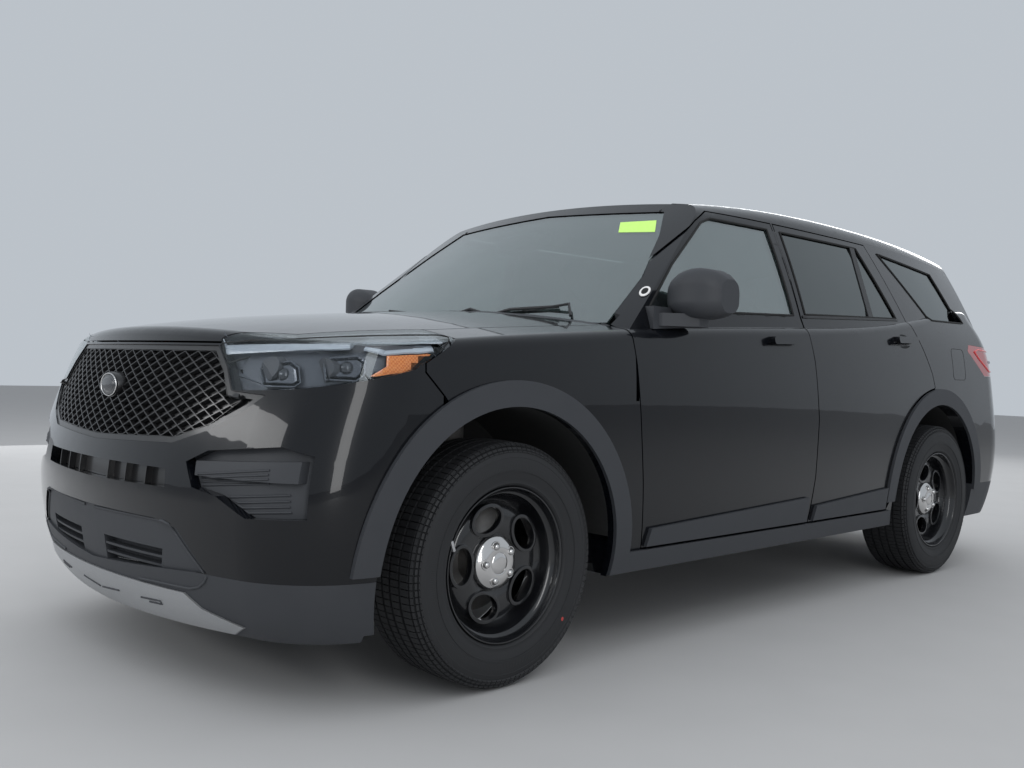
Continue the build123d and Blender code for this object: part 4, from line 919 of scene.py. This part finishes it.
# Fuel flap: a round-cornered steel door in the left rear quarter, shut flush, so that only
# its dark shut line shows.
FLAP_REACH, FLAP_ROUND, FLAP_Y, FLAP_Z = 0.08118, 0.024, 1.660, 1.075
flap_line = []
for corner in range(4):
    middle = pi / 4 + pi / 2 * corner
    for step in (-1, -0.5, 0, 0.5, 1):
        heading = middle + step * pi / 4
        flap_line.append((
            FLAP_Y + cos(middle) * FLAP_REACH + FLAP_ROUND * cos(heading),
            FLAP_Z + sin(middle) * FLAP_REACH + FLAP_ROUND * sin(heading),
        ))
flap_seam = ring_on_side("fuel_flap_seam", flap_line, -0.0004, 0.0016)
finish_piece(flap_seam, seal_black, 60)

# Windscreen fittings: two wipers parked at its foot, the mirror and its sensor cover glued
# behind the top, and a blank lime sticker on the upper corner.
screen_tree = surface_of("windscreen")


def on_screen(x, z, gap):
    """The point on the windscreen straight behind an x and z, a gap proud of it."""
    hit, normal = screen_tree.ray_cast(Vector((x, -3, z)), Vector((0, 1, 0)))[:2]
    if not hit:
        hit, normal = screen_tree.find_nearest(Vector((x, -1.2, z)))[:2]
    return tuple(hit + normal * gap)


WIPERS = (
    # tip, elbow, pivot
    ((-0.640, 1.205), (-0.030, 1.186), (0.020, 1.150)),
    ((0.060, 1.180), (0.600, 1.205), (0.690, 1.165)),
)
for number, (tip, elbow, pivot) in enumerate(WIPERS):
    blade = [on_screen(*spot, 0.008) for spot in stepped((tip, elbow), steps=8)]
    arm = [
        on_screen(*pivot, 0.012), on_screen((elbow[0] + pivot[0]) / 2, elbow[1], 0.020),
        on_screen((tip[0] + elbow[0]) / 2, (tip[1] + elbow[1]) / 2, 0.018),
    ]
    for name, points, radius in (("blade", blade, 0.0065), ("arm", arm, 0.0055)):
        rod = tube(f"wiper_{name}_{number}", points, radius)
        finish_piece(rod, satin_black, 60)
lime = mottled("blank lime sticker", (0.50, 0.86, 0.16), (0.58, 0.92, 0.22), (60, 2), 0.5)
STICKER = ((620.5, 222.5), (656.5, 220.5), (655, 232), (618.5, 232.5))
sticker = thicken(traced("screen_sticker", STICKER, screen_tree, -0.0006), 0.0006)
finish_piece(sticker, lime)
POD = ((492, 240), (505, 234), (530, 230), (548, 229), (546, 234), (536, 240), (508, 246), (494, 246))
pod = thicken(traced("mirror_pod", POD, screen_tree, 0.030), 0.035, round_off=0.006, segments=3)
finish_piece(pod, satin_black)

# Pillar stud: a bright oval escutcheon with a black plug, where a spot lamp's shaft can
# pass the left windscreen pillar.
STUD, STUD_SHAPE, PLUG_SHAPE = (645, 292), (0.80, 1.25, 0.6, 1), (0.80, 1.25, 0.35, 1)
pillar_tree = surface_of("body_side_left", "front_door_left", "wing_left", "roof", "windscreen")
spot, normal = under(pillar_tree, *STUD, -0.003)
on_pillar = Matrix.Translation(spot) @ normal.to_track_quat("Z", "Y").to_matrix().to_4x4()
stud = start(
    "pillar_stud", bpy.ops.mesh.primitive_torus_add, major_segments=40, minor_segments=10, major_radius=0.020,
    minor_radius=0.0055,
)
stud.data.transform(on_pillar @ Matrix.Diagonal(STUD_SHAPE))
white_ring = mottled("white enamel ring", (0.70, 0.70, 0.70), (0.78, 0.78, 0.78), (80, 2), 0.3)
finish_piece(stud, white_ring, 60)
core = start("pillar_plug", bpy.ops.mesh.primitive_uv_sphere_add, segments=32, ring_count=16, radius=0.017)
core.data.transform(on_pillar @ Matrix.Diagonal(PLUG_SHAPE))
finish_piece(core, seal_black, 60)

# Door mirror glass: a silvered pane with rounded corners, set in the back of each head
# and carried with it by the front door.
MIRROR_GLASS = (
    (0.958, 1.206), (1.092, 1.210), (1.112, 1.228), (1.112, 1.294), (1.094, 1.314), (0.962, 1.318),
    (0.946, 1.300), (0.944, 1.224),
)
looking_glass = filled("mirror_glass", [(x, 2, z) for x, z in MIRROR_GLASS], 0.02)
lay_on(looking_glass, surface_of("mirror_left"), (0, -1, 0), 0.0006)
on_both_sides(thicken(looking_glass, 0.0015, 1.0), chrome, bodies="front_door_{}")

# Rear door division bar, handle scoops and roof seams: a satin upright that parts the rear
# door's pane, a sheet in painted shade, darker than the gloss paint round it, over the dished
# steel behind each handle, and the rubber strips in the roof joints.
DIVISION_BAR = ((848.5, 247), (852.8, 247.6), (872.6, 317.6), (868.2, 317.8))
bar = thicken(traced("pane_division", DIVISION_BAR, side_tree, -0.001, 10), 0.006)
on_both_sides(bar, satin_black, bodies="rear_door_{}")
SCOOPS = (("front_door", -0.116, 1.120), ("rear_door", 1.010, 1.170))
SCOOP_HALF_LONG, SCOOP_HALF_HIGH, SCOOP_WALL, PAST_HANDLE = 0.080, 0.034, 0.0016, 0.062
# Painted shade: a gloss black darker than the paint round it, laid over each handle scoop for the shade in
# its dish.
shadow_black = mottled(
    "shaded gloss black", (0.0012, 0.0014, 0.0018), (0.0022, 0.0025, 0.0030), (30, 2), 0.30, (25, 2, 0.08),
    specular_ior_level=0.10,
)
for panel, scoop_y, scoop_z in SCOOPS:
    scoop = start(
        f"{panel}_scoop", bpy.ops.mesh.primitive_cylinder_add, (SCOOP_HALF_HIGH, SCOOP_HALF_LONG, 1),
        vertices=48, radius=1, depth=SCOOP_WALL, rotation=(0, pi / 2, 0),
    )
    for vertex in scoop.data.vertices:
        y, z = vertex.co.y + scoop_y, vertex.co.z + scoop_z
        low, high = (
            side_tree.ray_cast(Vector((2, y, scoop_z + step)), Vector((-1, 0, 0)))[0].x
            for step in (-PAST_HANDLE, PAST_HANDLE)
        )
        share = (vertex.co.z + PAST_HANDLE) / (2 * PAST_HANDLE)
        vertex.co = (vertex.co.x + low + (high - low) * share + 0.0014, y, z)
    on_both_sides(scoop, shadow_black, bodies=f"{panel}_{{}}")
ROOF_SEAM = ((0.600, -0.480, 2), (0.600, 1.965, 2))
roof_line = laid(surface_of("roof", "body_side_left"), (0, 0, -1), ROOF_SEAM, 0.0, 0.08)
on_both_sides(tube("roof_seam", roof_line, 0.0035), seal_black, 60)

# Tail trim: a satin bar across the tailgate over a grained plate recess, a high brake lamp
# above the glass, a wiper at its foot and a red reflector in each end of the bumper.
tail_tree = surface_of(
    "tailgate", "tailgate_glass", "tail_lamps", "rear_bumper", "rear_fascia", "body_side_left",
)


def tail_plate(name, corners, wall, round_off):
    """A plate inside an X and Z outline, laid on the tail from behind."""
    piece = filled(name, [(x, 3, z) for x, z in corners], 0.05)
    lay_on(piece, tail_tree, (0, -1, 0), 0)
    return thicken(piece, wall, 0.0, round_off)


def on_tail(line, gap=0.0):
    """Points along an X and Z line, laid on the tail from behind."""
    return laid(tail_tree, (0, -1, 0), [(x, 3, z) for x, z in line], gap)


TAIL_BAR = ((-0.725, 1.096), (0.725, 1.096), (0.731, 1.128), (0.715, 1.148), (-0.715, 1.148), (-0.731, 1.128))
finish_piece(tail_plate("tailgate_bar", TAIL_BAR, 0.022, 0.006), satin_black, body="tailgate")
RECESS = ((-0.235, 0.888), (0.235, 0.888), (0.252, 0.905), (0.232, 1.086), (-0.232, 1.086), (-0.252, 0.905))
finish_piece(tail_plate("plate_recess", RECESS, 0.004, 0.001), grained, body="tailgate")
rim = tube("plate_recess_rim", on_tail((*RECESS, RECESS[0]), 0.001), 0.0065)
finish_piece(rim, grained, 60, body="tailgate")
PLATE_LAMPS = (-0.085, 0.085)
PLATE_LAMP = ((-0.024, 1.084), (0.024, 1.084), (0.024, 1.095), (-0.024, 1.095))
plate_lamps = [
    tail_plate("plate_lamp", [(spot + x, z) for x, z in PLATE_LAMP], 0.030, 0.002) for spot in PLATE_LAMPS
]
finish_piece(joined_pieces("plate_lamps", plate_lamps), guide_white, body="tailgate")
BRAKE_LAMP = ((-0.165, 1.632), (0.165, 1.632), (0.158, 1.648), (-0.158, 1.648))
brake_lamp = tail_plate("high_brake_lamp", BRAKE_LAMP, 0.010, 0.002)
finish_piece(brake_lamp, red_lens, body="tailgate")
REAR_PIVOT = (0.0, 1.203)
REAR_BLADE = ((-0.330, 1.262), (0.060, 1.262))
REAR_ARM = (REAR_PIVOT, (-0.060, 1.240), (-0.135, 1.262))
hub = start(
    "rear_hub", bpy.ops.mesh.primitive_cylinder_add, vertices=32, radius=0.020, depth=0.044,
    location=on_tail((REAR_PIVOT, REAR_PIVOT))[0], rotation=(pi / 2, 0, 0),
)
bevel_edges(hub, 0.004, 3)
blade = tube("rear_blade", on_tail(REAR_BLADE, 0.010), 0.0065)
arm = tube("rear_arm", on_tail(REAR_ARM, 0.019), 0.0060)
wiper = joined_pieces("rear_wiper", [blade, arm, hub])
finish_piece(wiper, satin_black, 50, body="tailgate")
REFLECTOR = ((0.560, 0.604), (0.745, 0.614), (0.752, 0.640), (0.570, 0.632))
on_both_sides(tail_plate("reflector", REFLECTOR, 0.010, 0.002), red_lens)

# Tail lamp insides: a bright red light guide that runs round each lamp's edge, and a pale
# reversing lamp between its arms, behind the red cover.
LAMP_HUB = Vector((0.450, 1.950, 0))
guide_red = mottled(
    "red light guide", (0.62, 0.030, 0.035), (0.74, 0.050, 0.055), (30, 2), 0.18, coat_weight=0.8,
)


def round_tail(path):
    """Points laid on the tail lamp from round its hub; each has a heading in degrees and a height."""
    points = []
    for turn, height in stepped(path, steps=8):
        outward = Vector((sin(radians(turn)), cos(radians(turn)), 0))
        hit = tail_tree.ray_cast(LAMP_HUB + outward * 2 + Vector((0, 0, height)), -outward)[0]
        if hit:
            points.append(tuple(hit))
    return points


GUIDE_ARMS = ((43, 1.046), (74, 1.046), (88, 1.110), (95, 1.150), (88, 1.164), (43, 1.150))
REVERSING = ((43, 1.098), (70, 1.098))
for name, path, radius, coat, slot_name in (
    ("tail_guide", GUIDE_ARMS, 0.0055, guide_red, "tail_lamp_red"),
    ("reversing_lamp", REVERSING, 0.0095, guide_white, "lamp_lens"),
):
    on_both_sides(tube(name, round_tail(path), radius), coat, 60)

# Tailpipe tips: a rolled bright steel sleeve clamped over each pipe's end, dark inside,
# that stands free in its hole through the rear bumper's foot.
TIP_SPOT, TIP_RADIUS, TIP_LONG, TIP_ROLL = (0.480, 2.452, 0.300), 0.0410, 0.080, 0.0035
tip = start(
    "tailpipe_tip", bpy.ops.mesh.primitive_cylinder_add, vertices=48, radius=TIP_RADIUS, depth=TIP_LONG,
    location=TIP_SPOT, rotation=(pi / 2, 0, 0),
)
dish(tip, lambda face: face.normal.y > 0.9, (TIP_ROLL, 0.0), (0.001, -0.010))
bevel_edges(tip, 0.001)
on_both_sides(tip, chrome, 40)

# Cabin fittings: an instrument hood and a centre screen on the dashboard, and four slatted
# air vents along its face, all moulded in the cabin's plastic.
DASH_FACE = -0.730
SCREEN_SIZE, VENT_SIZE, VENT_SLATS = (0.250, 0.024, 0.160), (0.120, 0.012, 0.064), 6
VENTS = ((-0.690, 1.040), (-0.200, 1.060), (0.200, 1.060), (0.690, 1.040))


def block(name, spot, size):
    """A box of a size, centred on a spot."""
    return start(name, bpy.ops.mesh.primitive_cube_add, size, size=1, location=spot)


def to_the_seats(face):
    """True on the face that looks back at the seats."""
    return face.normal.y > 0.9


hood = block("instrument_hood", (0.385, -0.800, 1.135), (0.360, 0.170, 0.070))
dish(hood, to_the_seats, (0.012, 0.0), (0.004, -0.030))
bevel_edges(hood, 0.008, 3)
finish_piece(hood, grained)
screen = block("centre_screen", (0, DASH_FACE, 0.990), SCREEN_SIZE)
dish(screen, to_the_seats, (0.009, 0.0), (0.001, -0.002))
bevel_edges(screen, 0.003)
finish_piece(screen, mesh_black)
vents = []
for vent_x, vent_z in VENTS:
    vent = block("vent", (vent_x, DASH_FACE, vent_z), VENT_SIZE)
    bpy.ops.object.mode_set(mode="EDIT")
    for cut in range(1, VENT_SLATS):
        slice_all((0, 0, vent_z + VENT_SIZE[2] * (cut / VENT_SLATS - 0.5)), (0, 0, 1))
    bpy.ops.object.mode_set(mode="OBJECT")
    dish(vent, to_the_seats, (0.002, 0.0), (0.001, -0.005), use_individual=True)
    vents.append(vent)
finish_piece(joined_pieces("air_vents", vents), mesh_black)

# Seats: foam cushions on steel frames in black cloth, with sewn channels and side bolsters,
# and a split bench behind. Each head restraint stands on two steel posts.
cloth, shader, place = new_finish("black seat cloth")
weave = place.maths("SINE", place.along("X") * 2600) * place.maths(
    "SINE", (place.along("Y") + place.along("Z")) * 2600,
)
fill(
    shader, base_color=place.noise(300, 2).blend((0.014, 0.014, 0.016), (0.030, 0.030, 0.033)),
    roughness=0.85 + place.noise(50) * 0.1, normal=weave.bump(0.0002, 0.6), sheen_weight=0.3,
)
dress(cloth, "front_seats", "rear_seat")
BOLSTER, SEAM_HALF, SEAM_SUNK = 0.62, 0.006, 0.010


def cushion(name, size, centre, lean, crown, channels, replaced, fill_share=0.85):
    """A crowned foam pad: sides drawn in, the upper face swollen between sewn channels."""
    pad = block(name, (0, 0, 0), size)
    wide, deep, tall = (value / 2 for value in size)
    seams = [-wide * BOLSTER, wide * BOLSTER]
    seams += [wide * BOLSTER * (2 * step / channels - 1) for step in range(1, channels)]
    bpy.ops.object.mode_set(mode="EDIT")
    for seam in seams:
        for shift in (-SEAM_HALF, 0, SEAM_HALF):
            slice_all((seam + shift, 0, 0), (1, 0, 0))
    for cut in range(1, 8):
        slice_all((0, deep * (cut / 4 - 1), 0), (0, 1, 0))
    for height in (-0.45, 0.35):
        slice_all((0, 0, tall * height), (0, 0, 1))
    bpy.ops.object.mode_set(mode="OBJECT")
    for vertex in pad.data.vertices:
        u, v, w = vertex.co.x / wide, vertex.co.y / deep, vertex.co.z / tall
        if w > 0.9:
            vertex.co.z -= crown * (1 - (1 - u ** 4) * (1 - v ** 4))
            if any(abs(vertex.co.x - seam) < 0.002 for seam in seams) and abs(v) < 0.95:
                vertex.co.z -= SEAM_SUNK
            elif abs(u) > 0.66:
                vertex.co.z += crown * 0.5 * (1 - v ** 4)
        drawn_in = 0.045 * (1 - max(0, 1 - abs(w)) ** 0.5)
        vertex.co.x *= 1 - drawn_in * v ** 2
        vertex.co.y *= 1 - drawn_in * u ** 2
    bevel_edges(pad, 0.022, 2, 50)
    apply_change(pad, "SUBSURF", levels=1, render_levels=1)
    pad.data.transform(Matrix.Translation(centre) @ Matrix.Rotation(radians(lean), 4, "X"))
    finish_piece(pad, cloth, 60)
    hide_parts(replaced)


SEAT_X, BENCH_X = 0.385, 0.380
CUSHIONS = (
    # name, size, place across and along and up, lean, crown, channels, node, fill
    ("front_seat_cushion", (0.50, 0.50, 0.15), (SEAT_X, -0.190, 0.558), 0, 0.022, 2, "front_seats", 0.85),
    ("front_seat_back", (0.48, 0.68, 0.115), (SEAT_X, 0.190, 0.840), 103.8, 0.020, 2, "front_seats", 0.85),
    ("front_headrest", (0.26, 0.17, 0.09), (SEAT_X, 0.320, 1.260), 90, 0.012, 1, "front_seats", 0.95),
    ("rear_headrest", (0.26, 0.15, 0.08), (BENCH_X, 1.110, 1.225), 90, 0.010, 1, "rear_seat", 0.95),
)
for side, sign in SIDES:
    for name, size, (x, y, z), *rest in CUSHIONS:
        cushion(f"{name}_{side}", size, (sign * x, y, z), *rest)
cushion("rear_seat_cushion", (1.30, 0.45, 0.16), (0, 0.625, 0.560), 0, 0.022, 5, "rear_seat")
cushion("rear_seat_back", (1.12, 0.66, 0.12), (0, 1.015, 0.860), 104, 0.020, 5, "rear_seat")
POST_REACH, POST_RADIUS = 0.060, 0.006
POSTS = (
    # across, then along and up at the foot and at the head
    (SEAT_X, (0.300, 1.130), (0.318, 1.260)),
    (BENCH_X, (1.090, 1.140), (1.110, 1.225)),
)
posts = [
    tube("post", [(sign * x + reach, *foot), (sign * x + reach, *head)], POST_RADIUS)
    for side, sign in SIDES for reach in (-POST_REACH, POST_REACH) for x, foot, head in POSTS
]
finish_piece(joined_pieces("headrest_posts", posts), chrome, 60)
PLINTHS = (
    # place, size, the side that is panelled
    ((SEAT_X, -0.150, 0.416), (0.42, 0.36, 0.138), lambda face: abs(face.normal.z) < 0.5),
    ((-SEAT_X, -0.150, 0.416), (0.42, 0.36, 0.138), lambda face: abs(face.normal.z) < 0.5),
    ((0, 0.725, 0.415), (1.20, 0.25, 0.136), lambda face: abs(face.normal.y) > 0.5),
)
for number, (spot, size, panelled) in enumerate(PLINTHS):
    plinth = block(f"seat_plinth_{number}", spot, size)
    dish(plinth, panelled, (0.020, 0.0), (0.006, -0.006), use_individual=True)
    bevel_edges(plinth, 0.004)
    finish_piece(plinth, grained)

# Running gear and engine: sand-cast iron and welded steel left bare, oiled and dusty, as
# seen behind the wheels, through the nose and from below.
iron = mottled(
    "cast iron", (0.10, 0.095, 0.09), (0.17, 0.165, 0.16), (50, 4), 0.6, (90, 2, 0.2), (250, 2, 0.0003),
    metallic=0.6,
)
dress(iron, "radiator", "engine", "front_subframe", "rear_suspension", "knuckle_left", "knuckle_right")

# Underside: the pressed floor in primer, the exhaust in heat-stained steel, and the
# needled felt liners that are clipped over each wheel.
shell_steel = mottled("primed steel", (0.020, 0.020, 0.022), (0.035, 0.035, 0.037), (12, 3), 0.55)
dress(shell_steel, "floor_pan")
pipe_steel = mottled("exhaust steel", (0.24, 0.22, 0.20), (0.36, 0.34, 0.32), (18, 4), 0.42, metallic=0.9)
dress(pipe_steel, "exhaust")
felt = mottled(
    "wheel arch felt", (0.010, 0.010, 0.010), (0.018, 0.018, 0.018), (60, 3), 0.9, relief=(500, 2, 0.0006),
)
dress(felt, "wheel_liners")

# Dashboard and steering wheel: moulded cabin plastic with a fine grain, dark so that it
# doesn't shine in the windscreen.
cabin = mottled(
    "cabin plastic", (0.026, 0.026, 0.028), (0.034, 0.034, 0.036), (20, 2), 0.6, relief=(600, 1, 0.0002),
)
dress(cabin, "dashboard", "steering_wheel")
